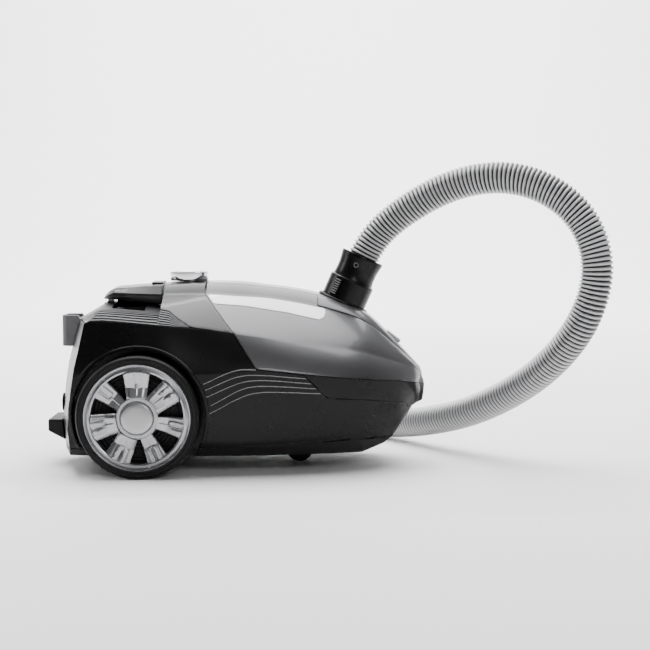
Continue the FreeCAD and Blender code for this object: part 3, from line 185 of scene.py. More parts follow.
# mid-grey moulding of the exhaust grille
grille_grey = finish("grille_grey", "#4e4e50", 0.4, metallic=0.5, grain_mm=0.6, grain_depth=0.03)
# chrome plate over ABS
chrome = finish("chrome", "#e6e6e8", 0.07, metallic=1.0, grain_mm=9.0, grain_depth=0.004)
# lighter satin grey: on the body's thin lines a painted highlight, since those ridges are of the body's
# black plastic; also on the button ribs and the lock ring
line_grey = finish("line_grey", "#6f6f71", 0.35, grain_mm=1.0)
# satin silver cap: turned marks too fine to see one by one
brushed_cap = finish("brushed_cap", "#a9a9ab", 0.36, metallic=0.95, grain_mm=0.8, grain_depth=0.03)
# socket in a slightly lighter grey than the body
socket_grey = finish("socket_grey", "#5a5a5c", 0.4, grain_mm=0.8, grain_depth=0.04)
# soft rubber of the tyres and seals
rubber = finish("rubber", "#0c0c0c", 0.5, ior=1.3, grain_mm=0.5, grain_depth=0.06)
# bright turned steel
steel = finish("steel", "#b4b6b8", 0.28, metallic=1.0, grain_mm=0.4, grain_depth=0.02)
# non-woven fleece of the bag and filters
fleece = finish("fleece", "#d8d4c8", 0.9, grain_mm=1.2, grain_depth=0.3, mottle=0.12)
# open foam in front of the motor
foam = finish("foam", "#55585c", 0.95, grain_mm=1.6, grain_depth=0.6, mottle=0.15)
# resin board under green lacquer
board_green = finish("board_green", "#2f6b45", 0.4, grain_mm=2.0, grain_depth=0.03)
# fibre card of the bag's plate
card = finish("card", "#c9b892", 0.85, grain_mm=0.8, grain_depth=0.1, mottle=0.1)
# enamelled copper of the windings
copper = finish("copper", "#a5562c", 0.35, metallic=1.0, grain_mm=0.7, grain_depth=0.15)
# white paper-smooth studio floor
studio_white = finish("studio_white", "#fdfdfd", 0.7, grain_mm=30.0, grain_depth=0.0, mottle=0.0)


def hose_plastic():
    """Silver-grey corrugated EVA: satin ribs, with painted shade in the grooves, which darken to near black.
    """
    material = bpy.data.materials.new("hose_plastic")
    material.use_nodes = True
    tree = material.node_tree
    tree.nodes.clear()
    rib = add(tree, "ShaderNodeAttribute", attribute_name="rib_height")
    place = add(tree, "ShaderNodeTexCoord").outputs["Object"]
    speck = add(tree, "ShaderNodeTexNoise", {"Vector": place, "Scale": 1 / (0.8 * MM), "Detail": 3.0})
    # painted shade: the colour runs from near black in the grooves to silver-grey on the ridges, following
    # the rib height
    tint = add(tree, "ShaderNodeMix", {0: rib.outputs["Fac"], 6: linear("#101011"),
                                       7: linear("#b9b9bb")}, data_type="RGBA")
    bump = add(tree, "ShaderNodeBump", {"Height": speck.outputs["Fac"], "Strength": 0.4,
                                        "Distance": 0.02 * MM})
    shader = add(tree, "ShaderNodeBsdfPrincipled", {
        "Base Color": tint.outputs[2], "Roughness": 0.36, "Metallic": 0.45,
        "Normal": bump.outputs["Normal"]})
    add(tree, "ShaderNodeOutputMaterial", {"Surface": shader.outputs["BSDF"]})
    return material


corrugated_eva = hose_plastic()

CAD_FINISHES = {
    black_abs: ["lower_housing", "front_bumper", "left_cuff_button", "right_cuff_button",
                "suction_slider", "handle_cuff", "cuff_body"],
    black_pp: ["bottom_pan", "cord_outlet", "handle_grip", "caster_fork", "reel_bracket", "cord_reel",
               "bag_holder", "filter_frame", "motor_housing", "fan_cover", "inlet_collar"],
    grey_paint: ["lid_shell", "lid_centre_panel"],
    dark_paint: ["rear_cover", "on_off_button", "rewind_button"],
    silver_paint: ["lid_trims"],
    grille_grey: ["exhaust_grille"],
    rubber: ["caster_wheel", "lid_seal", "inlet_seal", "motor_mounts"],
    steel: ["housing_screws", "hinge_pin", "latch_spring", "on_off_spring", "rewind_spring",
            "wheel_axles", "caster_pin", "motor_can", "motor_bearings", "reel_spring_case", "fan",
            "potentiometer"],
    copper: ["stator", "rotor"],
    fleece: ["dust_bag", "exhaust_filter"],
    foam: ["motor_filter"],
    board_green: ["control_board"],
    card: ["bag_plate"],
}
for material, nodes in CAD_FINISHES.items():
    for node_name in nodes:
        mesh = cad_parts[node_name].data
        mesh.materials.clear()
        mesh.materials.append(material)


# ---- meshes from arrays ----
def grid_faces(rows, columns, wrap_rows=False, wrap_columns=False):
    """Quads between the neighbours of a grid of points."""
    r = np.arange(rows if wrap_rows else rows - 1)
    c = np.arange(columns if wrap_columns else columns - 1)
    r, c = np.meshgrid(r, c, indexing="ij")
    r1 = (r + 1) % rows
    c1 = (c + 1) % columns
    corners = (r * columns + c, r * columns + c1, r1 * columns + c1, r1 * columns + c)
    return np.stack(corners, axis=-1).reshape(-1, 4)


def piece(name, points, faces, material, body, replaces=(), thickness=0.0, bevel=0.0, sharp=32.0,
          merge=True, outward=True):
    """A mesh object from points in millimetres, finished with a wall and rounded edges."""
    mesh = bpy.data.meshes.new(name)
    mesh.from_pydata((np.asarray(points) * MM).tolist(), [], np.asarray(faces).tolist())
    if merge:
        work = bmesh.new()
        work.from_mesh(mesh)
        bmesh.ops.remove_doubles(work, verts=work.verts, dist=0.02 * MM)
        bmesh.ops.dissolve_degenerate(work, edges=work.edges, dist=0.01 * MM)
        stray = [vertex for vertex in work.verts if not vertex.link_faces]
        bmesh.ops.delete(work, geom=stray, context="VERTS")
        if outward:
            bmesh.ops.recalc_face_normals(work, faces=work.faces)
        work.to_mesh(mesh)
        work.free()
    mesh.materials.append(material)
    mesh.shade_smooth()
    mesh.set_sharp_from_angle(angle=math.radians(sharp))
    thing = bpy.data.objects.new(name, mesh)
    bpy.context.scene.collection.objects.link(thing)
    if thickness:
        wall = thing.modifiers.new("wall", "SOLIDIFY")
        wall.thickness = thickness * MM
        wall.offset = -1.0
    if bevel:
        edge = thing.modifiers.new("edge", "BEVEL")
        edge.width = bevel * MM
        edge.segments = 2
        edge.limit_method = "ANGLE"
        edge.angle_limit = math.radians(38)
    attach(thing, body)
    if replaces:
        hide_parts(*replaces)
    return thing


def turned(profile, count, side=1, centre=(WHEEL_X, 0.0, WHEEL_Z)):
    """A (radius, distance out) profile carried round the wheels' axle, on one side."""
    angle = np.linspace(0, 2 * np.pi, count, endpoint=False)
    radius, out = np.asarray(profile, float).T
    x = centre[0] + radius[None, :] * np.sin(angle)[:, None]
    z = centre[2] + radius[None, :] * np.cos(angle)[:, None]
    y = np.broadcast_to(side * out, x.shape)
    return np.stack([x, y, z], axis=-1).reshape(-1, 3), grid_faces(count, len(profile), True)


def raised(profile, count, base=(0.0, 0.0, 0.0), tilt=0.0, closed=False):
    """A (radius, height) profile carried round an upright axis that is tilted forwards."""
    angle = np.linspace(0, 2 * np.pi, count, endpoint=False)
    radius, height = np.asarray(profile, float).T
    across = radius[None, :] * np.cos(angle)[:, None]
    y = radius[None, :] * np.sin(angle)[:, None]
    up = np.broadcast_to(height, across.shape)
    x = base[0] + across * math.cos(tilt) + up * math.sin(tilt)
    z = base[2] - across * math.sin(tilt) + up * math.cos(tilt)
    points = np.stack([x, y + base[1], z], axis=-1).reshape(-1, 3)
    return points, grid_faces(count, len(profile), True, closed)


# ---- the hull's surface ----
def smooth(x, xs, ys):
    """A cubic through the stations that never overshoots them."""
    step = np.diff(xs)
    slope = np.diff(ys) / step
    tangent = np.concatenate([slope[:1], np.zeros(len(xs) - 2), slope[-1:]])
    same = slope[:-1] * slope[1:] > 0
    mean = 2 * slope[:-1] * slope[1:] / np.where(same, slope[:-1] + slope[1:], 1)
    tangent[1:-1] = np.where(same, mean, 0)
    k = np.clip(np.searchsorted(xs, x) - 1, 0, len(step) - 1)
    t = (x - xs[k]) / step[k]
    return ((2 * t ** 3 - 3 * t ** 2 + 1) * ys[k] + (t ** 3 - 2 * t ** 2 + t) * step[k] * tangent[k]
            + (3 * t ** 2 - 2 * t ** 3) * ys[k + 1] + (t ** 3 - t ** 2) * step[k] * tangent[k + 1])


def section(x):
    """The corners of the hull's outline at each x: from the middle of the top to the bottom."""
    columns = []
    for k in range(1, STATIONS.shape[1]):
        if k >= 4:
            plain = STATIONS[STATIONS[:, 0] != HUMP_TOP]
            columns.append(smooth(x, plain[:, 0], plain[:, k]))
            continue
        behind = STATIONS[STATIONS[:, 0] <= HUMP_FOOT]
        ahead = STATIONS[STATIONS[:, 0] >= HUMP_FOOT]
        columns.append(np.where(x < HUMP_FOOT, smooth(x, behind[:, 0], behind[:, k]),
                                smooth(x, ahead[:, 0], ahead[:, k])))
    top, ry, rz, cy, cz, wy, wz, sy, sz, floor = columns
    zero = np.zeros_like(top)
    ys = np.stack([zero, CROWN_WIDTH * ry, ry, cy, wy, sy, FLOOR_WIDTH * sy, zero], axis=-1)
    zs = np.stack([top, top - CROWN_DROP * (top - rz), rz, cz, wz, sz, floor, floor], axis=-1)
    return ys, zs


def skin(x, row, proud=0.0):
    """Points of the hull at x, row steps round the outline, lifted off it by a height."""
    ys, zs = section(x)
    dy = np.diff(ys, axis=1)
    dz = np.diff(zs, axis=1)
    length = np.hypot(dy, dz)
    face_y, face_z = -dz / length, dy / length
    edge_y = np.concatenate([face_y[:, :1] * 0, face_y[:, :-1] + face_y[:, 1:], face_y[:, -1:] * 0], 1)
    edge_z = np.concatenate([face_z[:, :1] * 0 + 1, face_z[:, :-1] + face_z[:, 1:],
                             face_z[:, -1:] * 0 - 1], 1)
    edge_y[:, 3] = face_y[:, 3]
    edge_z[:, 3] = face_z[:, 3]
    size = np.hypot(edge_y, edge_z)
    edge_y, edge_z = edge_y / size, edge_z / size
    k = np.clip(row.astype(int), 0, 6)
    t = row - k
    at = np.arange(len(x))[:, None]
    bow = BULGE[k] * 4 * t * (1 - t)
    lift_y = edge_y[at, k] * (1 - t) + edge_y[at, k + 1] * t
    lift_z = edge_z[at, k] * (1 - t) + edge_z[at, k + 1] * t
    y = ys[at, k] * (1 - t) + ys[at, k + 1] * t + face_y[at, k] * bow + lift_y * proud
    z = zs[at, k] * (1 - t) + zs[at, k + 1] * t + face_z[at, k] * bow + lift_z * proud
    behind = np.clip((-188 - x) / 26, 0, 1)
    ahead = np.clip((x - 214) / 14, 0, 1)
    closing = (1 - behind ** 8) ** (1 / 8) * (1 - ahead ** 2.2) ** (1 / 2.2)
    y = y * closing[:, None]
    x = np.broadcast_to(x[:, None], y.shape)
    swept = REAR_SWEEP * np.maximum(y - REAR_FLAT, 0)
    slope_top = np.where(x - swept > -159, 999.0, 177 + np.clip(x - swept + 189, 0, 30) * 0.6)
    z = np.minimum(z, slope_top + proud)
    x = np.maximum(x, np.interp(z, *REAR_OUTLINE) + swept - proud)
    x = np.minimum(x, np.interp(z, *FRONT_OUTLINE) + proud)
    return np.stack([x, y, z], axis=-1)


def row_at(x, z):
    """The row at which the hull's side has the height z, for each x."""
    rows = np.linspace(RIDGE_ROW, 7, 201)
    heights = skin(x, np.broadcast_to(rows, (len(x), 201)))[:, :, 2]
    return np.array([np.interp(-a, -b, rows) for a, b in zip(z, heights)])


SIDE_X = np.linspace(-212, 227, 300)
SIDE_Z = np.linspace(24, 215, 200)


def side_table():
    """The hull's half width over a grid of x and height, seen from the side."""
    rows = np.linspace(RIDGE_ROW, 7, 301)
    points = skin(SIDE_X, np.broadcast_to(rows, (len(SIDE_X), 301)))
    return np.array([np.interp(-SIDE_Z, -p[:, 2], p[:, 1]) for p in points])


SIDE_Y = side_table()


def side_y(x, z):
    """The hull's half width at places seen from the side, between the grid's lines."""
    fx = np.clip((x - SIDE_X[0]) / (SIDE_X[1] - SIDE_X[0]), 0, len(SIDE_X) - 1.001)
    fz = np.clip((z - SIDE_Z[0]) / (SIDE_Z[1] - SIDE_Z[0]), 0, len(SIDE_Z) - 1.001)
    i, j = fx.astype(int), fz.astype(int)
    a, b = fx - i, fz - j
    return (SIDE_Y[i, j] * (1 - a) * (1 - b) + SIDE_Y[i + 1, j] * a * (1 - b)
            + SIDE_Y[i, j + 1] * (1 - a) * b + SIDE_Y[i + 1, j + 1] * a * b)


def patch(x, top_row, bottom_row, proud, texture=None):
    """One stretch of shell on the left side: the rows between two edges, for each x."""
    rows = np.clip(ROWS[None, :], top_row[:, None], bottom_row[:, None])
    if texture is not None:
        share = np.linspace(0, 1, 130)
        rows = top_row[:, None] * (1 - share) + bottom_row[:, None] * share
        flat = skin(x, rows, proud)
        deep = skin(x, rows, proud - 1.0)
        points = flat + (deep - flat) * texture(share)[None, :, None]
    else:
        points = skin(x, rows, proud)
    return points.reshape(-1, 3), grid_faces(len(x), rows.shape[1])


def shell(name, stretches, material, body, proud=1.0, thickness=0.9, bevel=0.45, hole=None,
          texture=None, replaces=()):
    """A shell on both sides of the hull from stretches of (x, top row, bottom row)."""
    points, faces, count = [], [], 0
    for x, top_row, bottom_row in stretches:
        p, f = patch(x, top_row, bottom_row, proud, texture)
        if hole:
            p, f = round_hole(p, f, proud, *hole)
        points += [p, p * (1, -1, 1)]
        faces += [f + count, f[:, ::-1] + count + len(p)]
        count += 2 * len(p)
    return piece(name, np.concatenate(points), np.concatenate(faces), material, body, replaces,
                 thickness, bevel)


def round_hole(points, faces, proud, centre_x, centre_z, radius):
    """Drops the faces inside a circle seen from the side and draws the rest up to its edge."""
    dx = points[:, 0] - centre_x
    dz = points[:, 2] - centre_z
    reach = np.hypot(dx, dz)
    inside = reach < radius
    kept = faces[~inside[faces].all(axis=1)]
    grow = np.where(inside, radius / np.maximum(reach, 1e-6), 1)
    moved = points.copy()
    moved[:, 0] = centre_x + dx * grow
    moved[:, 2] = centre_z + dz * grow
    moved[:, 1] = np.where(inside, side_y(moved[:, 0], moved[:, 2]) + proud, points[:, 1])
    return moved, kept


def spaced(start, end, step):
    return np.linspace(start, end, max(2, int(abs(end - start) / step) + 1))


REAR_COLUMNS = -188 - 26 * np.sin(np.linspace(np.pi / 2, 0, 26))
NOSE_COLUMNS = 214 + 14 * np.sin(np.linspace(0, np.pi / 2, 20))


def black_body():
    """The black lower body: from the shells' edges down to the pan, with the wheel arches."""
    x = np.concatenate([REAR_COLUMNS, spaced(-185, 211, 2.6), NOSE_COLUMNS])
    top = np.interp(x, GRILLE_EDGE[0] + LID_REAR[0][2:] + BUMPER_EDGE[0],
                    GRILLE_EDGE[1] + LID_REAR[1][2:] + BUMPER_EDGE[1]) - 0.5
    bottom = np.interp(x, *PAN_EDGE)
    shell("body_skin", [(x, row_at(x, top), row_at(x, bottom))], black_abs, "chassis",
          hole=(WHEEL_X, WHEEL_Z, ARCH_R))


def nose_bumper():
    """The band round the nose, a little proud of the body."""
    x = np.concatenate([spaced(84.2, 211, 2.6), NOSE_COLUMNS])
    top = np.interp(x, *LID_EDGE) - 0.5
    bottom = np.minimum(np.interp(x, *BUMPER_EDGE), top)
    shell("bumper_skin", [(x, row_at(x, top), row_at(x, bottom))], black_abs, "chassis", proud=1.9,
          thickness=1.8, bevel=0.7)


PANEL_REAR = 98.0


def lid():
    """The lid's painted shell and, between its ridges in front, the centre panel."""
    x = spaced(-34.3, PANEL_REAR, 2.4)
    low = np.interp(x, LID_REAR[0] + LID_EDGE[0][1:], LID_REAR[1] + LID_EDGE[1][1:])
    behind = (x, np.zeros_like(x), row_at(x, low))
    x = np.concatenate([spaced(PANEL_REAR, 211, 2.4), NOSE_COLUMNS])
    ridge = np.full_like(x, RIDGE_ROW + 0.015)
    ahead = (x, ridge, row_at(x, np.interp(x, *LID_EDGE)))
    shell("lid_skin", [behind, ahead], grey_paint, "lid")
    x = np.concatenate([spaced(PANEL_REAR + 0.8, 211, 2.4), NOSE_COLUMNS[:-3]])
    shell("centre_panel_skin", [(x, np.zeros_like(x), np.full_like(x, 1.97))],
          grey_paint, "lid", proud=0.7)


def lid_trims():
    """The silver inserts under the ridges, proud by the thickness of a coin's edge."""
    x = spaced(-31, 108, 1.5)
    low = np.interp(x, [-31, -24, 13, 63, 100, 106, 108], [204, 197, 194, 186, 177.5, 180, 185])
    top = np.full_like(x, RIDGE_ROW + 0.05)
    shell("trim_skin", [(x, top, np.maximum(row_at(x, low), top + 0.01))], silver_paint, "lid",
          proud=1.5, thickness=1.2, bevel=0.5)


def rear_cover():
    """The painted cover behind the lid, with its tails down both sides."""
    x = np.concatenate([[-87.0], spaced(-84.6, -36.4, 2.4)])
    behind = (x, np.zeros_like(x), row_at(x, np.interp(x, *COVER_EDGE)))
    x = spaced(-36.4, 0.6, 1.8)
    top = np.interp(x, [-36.4, -34.9, 1.0], [209.0, 206.6, 165.2])
    low = np.minimum(np.interp(x, *COVER_EDGE), top)
    ahead = (x, row_at(x, top), row_at(x, low))
    shell("rear_cover_skin", [behind, ahead], dark_paint, "chassis")


def grille_ribs(share):
    """Depth of the grooves between the ribs, over the share of the way down."""
    wave = np.cos(share * 2 * np.pi * 6.5)
    return np.clip(0.5 + 1.6 * wave, 0, 1) * 2.2


def exhaust_grille():
    """The ribbed cover round the back, above the body's edge."""
    x = np.concatenate([REAR_COLUMNS, spaced(-185, -148, 2.4)])
    edge = np.interp(x, *GRILLE_EDGE)
    back = (x, np.interp(x, [-214, -148], [1.5, 2.0]), row_at(x, edge))
    x = spaced(-148, -88.4, 2.0)
    side = (x, np.full_like(x, 2.0), row_at(x, np.interp(x, *GRILLE_EDGE)))
    x = spaced(-88.4, -49.5, 1.6)
    low = np.interp(x, *GRILLE_EDGE)
    top = np.maximum(np.interp(x, *COVER_EDGE) - 0.7, low + 0.05)
    tip = (x, row_at(x, top), row_at(x, low))
    shell("grille_skin", [back, side, tip], grille_grey, "chassis", proud=0.9, thickness=0.8,
          bevel=0.0, texture=grille_ribs)


def fine_lines():
    """Five thin raised lines on each side of the body, from the wheel arch to the bumper. Their lighter grey
    is a painted highlight.
    """
    lines = [[(-32, 109), (4, 124), (14, 125.4), (28, 125)], [(-30, 102), (11.5, 118), (22, 119), (85, 114)],
             [(-29, 94), (19, 112), (30, 112.8), (91, 108)], [(-24, 84), (21, 105), (33, 106), (97, 102)],
             [(-27, 74), (27, 98), (40, 99), (102, 96)]]
    turn = np.linspace(0, 2 * np.pi, 8, endpoint=False)
    points, faces, count = [], [], 0
    for line in lines:
        corners = np.array(line, float)
        x = spaced(corners[0, 0], corners[-1, 0], 1.5)
        z = smooth(x, corners[:, 0], corners[:, 1])
        y = side_y(x, z) + 0.8
        for side in (1, -1):
            ring_y = side * (y[:, None] + 0.55 * np.cos(turn)[None, :])
            ring_z = z[:, None] + 0.6 * np.sin(turn)[None, :]
            ring_x = np.broadcast_to(x[:, None], ring_y.shape)
            points.append(np.stack([ring_x, ring_y, ring_z], axis=-1).reshape(-1, 3))
            faces.append(grid_faces(len(x), 8, False, True) + count)
            count += len(x) * 8
    piece("fine_lines", np.concatenate(points), np.concatenate(faces), line_grey, "chassis")


def arch_lips():
    """The rounded lip round each wheel arch."""
    angle = np.linspace(math.radians(-29), math.radians(209), 150)
    profile = [(-0.2, -3.0), (-0.2, 0.9), (0.5, 1.7), (2.0, 1.9), (3.4, 1.7), (4.0, 1.0), (4.0, -1.0)]
    shift = np.array(profile)
    points, faces, count = [], [], 0
    for side in (1, -1):
        radius = ARCH_R + shift[:, 0][None, :]
        x = WHEEL_X + radius * np.cos(angle)[:, None]
        z = WHEEL_Z + radius * np.sin(angle)[:, None]
        y = side * (side_y(x, z) + shift[:, 1][None, :])
        points.append(np.stack([x, y, z], axis=-1).reshape(-1, 3))
        faces.append(grid_faces(len(angle), len(profile)) + count)
        count += len(angle) * len(profile)
    piece("arch_lips", np.concatenate(points), np.concatenate(faces), black_abs, "chassis",
          thickness=0.6)


# ---- wheels ----
def tyre(side, label):
    """A tyre with rounded shoulders and two fine grooves on its side wall."""
    profile = [(61.3, 113), (66, 112.2), (69, 112.6), (70.6, 114.2), (71, 116.5), (71, 136), (70.7, 138),
               (69.6, 139.8), (68.6, 140.6), (68.2, 140.2), (67.6, 140.2), (67.2, 140.9), (65, 141),
               (64.4, 140.5), (63.8, 140.5), (63.3, 141), (61.5, 141), (61.3, 139)]
    points, faces = turned(profile, 144, side)
    piece(label + "_tyre_rubber", points, faces, rubber, "wheel_" + label,
          replaces=[label + "_tyre"], sharp=40)


def spoke_surface(side):
    """Seven spokes: they widen outwards, dip to a valley and carry a ridge round a slot."""
    radius = np.concatenate([np.linspace(22.5, 34, 12), np.linspace(35, 53.6, 34)])
    across = np.linspace(-1, 1, 41)
    r, a = np.meshgrid(radius, across, indexing="ij")
    half_width = np.interp(r, [22, 26, 50.5, 53.6], [7.4, 8.1, 11.9, 13.6])
    valley = np.interp(r, [22, 25, 35, 53, 57], [0.0, -0.6, -3.6, -0.8, 0.0])
    offset = a * half_width
    slot = (np.abs(offset) < 1.2) & (r > 38) & (r < 55)
    end = np.where(r < 40.5, 40.5 - r, 0)
    bead = np.exp(-((np.hypot(np.abs(offset), end * 1.2) - 4.4) / 0.9) ** 2) * (r > 36)
    line = np.exp(-(offset / 0.45) ** 2) * (r < 38) * (r > 25.5)
    edge_drop = -1.4 * np.clip(np.abs(a) - 0.86, 0, 1) / 0.14 * (r < 54)
    height = valley + 1.0 * bead - 1.6 * slot + 0.5 * line + edge_drop
    faces_one = grid_faces(*r.shape)
    points, faces = [], []
    for k in range(SPOKES):
        turn = 2 * np.pi * k / SPOKES
        angle = np.arctan2(offset, r)
        reach = np.hypot(r, offset)
        reach = np.minimum(reach, 54.0)
        x = WHEEL_X + reach * np.sin(turn + angle)
        z = WHEEL_Z + reach * np.cos(turn + angle)
        y = side * (141.2 + height)
        points.append(np.stack([x, y, z], axis=-1).reshape(-1, 3))
        faces.append(faces_one + k * r.size)
    return np.concatenate(points), np.concatenate(faces)


def rim(side, label):
    """The silver spokes, the conical rim with its bright lip, and the dark ribbed back plate."""
    body = "wheel_" + label
    points, faces = spoke_surface(side)
    spokes = piece(label + "_spokes", points, faces, silver_paint, body, replaces=[label + "_rim"],
                   bevel=0.5, sharp=50)
    wall = spokes.modifiers.new("wall", "SOLIDIFY")
    wall.thickness = 5 * MM
    wall.offset = 1.0 if side > 0 else -1.0
    spokes.modifiers.move(1, 0)
    ring = [(52.8, 135), (52.8, 139.8), (53.4, 140.8), (55, 141.4), (59.4, 139.2), (59.9, 139.3),
            (60.1, 141.7), (60.6, 142), (61.1, 141.6), (61.2, 135), (61.2, 113), (58.5, 113), (58.5, 134)]
    points, faces = turned(ring, 168, side)
    piece(label + "_rim_ring", points, faces, silver_paint, body, sharp=28)
    hub = [(19.2, 137), (19.2, 141.6), (20, 142.2), (23, 142.2), (24.4, 141.2), (24.8, 139), (24.8, 134)]
    points, faces = turned(hub, 96, side)
    piece(label + "_hub_ring", points, faces, silver_paint, body, sharp=28)
    radius = np.linspace(6, 58.4, 160)
    depth = 127 + 0.45 * np.cos(radius * 2 * np.pi / 4.2)
    points, faces = turned(np.stack([radius, depth], axis=1), 96, side)
    piece(label + "_back_plate", points, faces, black_pp, body, thickness=1.5)
    cap = [(0.01, 145), (6, 144.96), (12, 144.8), (16.4, 144.5), (18.2, 143.9), (18.9, 142.8), (19, 140)]
    points, faces = turned(cap, 96, side)
    piece(label + "_cap_face", points, faces, brushed_cap, body, replaces=[label + "_hub_cap"], sharp=45)


def cuff():
    """The cuff's smooth outer skin in three steps, open where the release buttons sit."""
    profile = np.array([(24, 0.2), (27.2, 0.2), (27.6, 0.8), (27.6, 2.7), (27.6, 10), (27.6, 18),
                        (27.6, 25.3), (27.6, 26.4), (27.2, 27.1), (25.6, 27.8), (25, 29), (24.4, 36),
                        (24.3, 42), (24.6, 48), (25.6, 53), (26.2, 55.4), (26.3, 58.4), (25.8, 59.3),
                        (22, 59.4), (19.6, 59.0), (19.5, 52)])
    button_turns = np.array([-90 - 35, 90 - 35]) % 360
    half = math.degrees(4.8 / 27.4)
    angle = [np.linspace(0, 360, 120, endpoint=False)]
    for turn in button_turns:
        angle.append([turn - half, turn + half])
    angle = np.unique(np.round(np.concatenate(angle), 3))
    points_per_ring = len(profile)
    a = np.radians(angle)
    across = profile[:, 0][None, :] * np.cos(a)[:, None]
    y = profile[:, 0][None, :] * np.sin(a)[:, None]
    up = np.broadcast_to(profile[:, 1], y.shape)
    x = CUFF_BASE[0] + across * math.cos(CUFF_TILT) + up * math.sin(CUFF_TILT)
    z = CUFF_BASE[2] - across * math.sin(CUFF_TILT) + up * math.cos(CUFF_TILT)
    points = np.stack([x, y, z], axis=-1).reshape(-1, 3)
    faces = grid_faces(len(angle), points_per_ring, True)
    ring = faces.min(axis=1) // points_per_ring
    last = (faces.max(axis=1) // points_per_ring == len(angle) - 1) & (ring == 0)
    start = np.where(last, angle[-1], angle[ring])
    level = np.minimum(faces[:, 0], faces[:, 1]) % points_per_ring
    height = profile[level, 1]
    open_face = np.zeros(len(faces), bool)
    for turn in button_turns:
        in_turn = (start >= turn - half - 0.01) & (start < turn + half - 0.01)
        open_face |= in_turn & (height >= 2.6) & (height < 25.2)
    piece("cuff_skin", points, faces[~open_face], black_abs, "cuff", sharp=35)
    points, faces = raised([(27.8, -4), (27.8, 0.2), (28.4, 0.9), (30.6, 0.9), (31.6, 0.0), (32.0, -1.5),
                            (32.0, -6)], 120, CUFF_BASE, CUFF_TILT)
    piece("inlet_ring", points, faces, black_abs, "lid", thickness=0.8, sharp=35)


def button_ribs():
    """Seven grip ribs across each release button, and a plain lock ring on the cuff's neck."""
    for label, turn in (("right", -125.0), ("left", 55.0)):
        points, faces, count = [], [], 0
        for s in np.linspace(5.5, 22.5, 7):
            a = np.radians(turn + np.linspace(-7.5, 7.5, 9))[:, None]
            radius = np.array([28.4, 29.3, 29.5, 29.3, 28.4])[None, :]
            up = s + np.array([-0.9, -0.5, 0.0, 0.5, 0.9])[None, :] + 0 * a
            across, y = radius * np.cos(a), radius * np.sin(a)
            x = CUFF_BASE[0] + across * math.cos(CUFF_TILT) + up * math.sin(CUFF_TILT)
            z = CUFF_BASE[2] - across * math.sin(CUFF_TILT) + up * math.cos(CUFF_TILT)
            points.append(np.stack([x, y, z], axis=-1).reshape(-1, 3))
            faces.append(grid_faces(9, 5) + count)
            count += 45
        piece(label + "_button_ribs", np.concatenate(points), np.concatenate(faces), line_grey,
              "cuff_button_" + label, thickness=0.4)
    a = np.linspace(0, 2 * np.pi, 24, endpoint=False)[:, None]
    b = np.linspace(0, 2 * np.pi, 6, endpoint=False)[None, :]
    reach = 2.6 + 0.45 * np.cos(b)
    up = 47 + reach * np.sin(a)
    bend = math.radians(-100) + reach * np.cos(a) / 24.4
    radius = np.interp(up, [42, 48, 53], [24.3, 24.6, 25.6]) + 0.1 + 0.45 * np.sin(b)
    across, y = radius * np.cos(bend), radius * np.sin(bend)
    x = CUFF_BASE[0] + across * math.cos(CUFF_TILT) + up * math.sin(CUFF_TILT)
    z = CUFF_BASE[2] - across * math.sin(CUFF_TILT) + up * math.cos(CUFF_TILT)
    points = np.stack([x, y, z], axis=-1).reshape(-1, 3)
    piece("lock_ring", points, grid_faces(24, 6, True, True), line_grey, "cuff")


def knob():
    """The chrome knob: a plain band with rolled edges over a thin dark foot."""
    profile = [(0.01, 232.6), (12, 232.5), (20.0, 232.2), (21.4, 232.4), (22.4, 233), (23.0, 232.8),
               (23.4, 232.2), (23.4, 224.0), (23.1, 223.2), (22.6, 223.0), (22.2, 222.0), (22.2, 221.9),
               (7, 221.9), (7, 207)]
    points, faces = raised(profile, 128, (KNOB_X, 0.0, 0.0))
    piece("knob_chrome", points, faces, chrome, "knob", replaces=["power_knob"], sharp=30)


def loft(name, sections, material, body, bevel=1.0, replaces=(), sharp=35):
    """A closed piece through outlines that have the same number of points, end to end."""
    stack = np.array(sections, float)
    count, around = stack.shape[:2]
    faces = grid_faces(count, around, False, True).tolist()
    faces.append(list(range(around)))
    faces.append([(count - 1) * around + k for k in reversed(range(around))])
    mesh_points = stack.reshape(-1, 3)
    thing = piece(name, mesh_points, np.array(faces[:-2]), material, body, replaces, 0.0, 0.0, sharp)
    work = bmesh.new()
    work.from_mesh(thing.data)
    bmesh.ops.holes_fill(work, edges=work.edges)
    bmesh.ops.recalc_face_normals(work, faces=work.faces)
    work.to_mesh(thing.data)
    work.free()
    thing.data.shade_smooth()
    thing.data.set_sharp_from_angle(angle=math.radians(sharp))
    edge = thing.modifiers.new("edge", "BEVEL")
    edge.width = bevel * MM
    edge.segments = 3
    edge.limit_method = "ANGLE"
    edge.angle_limit = math.radians(28)
    return thing


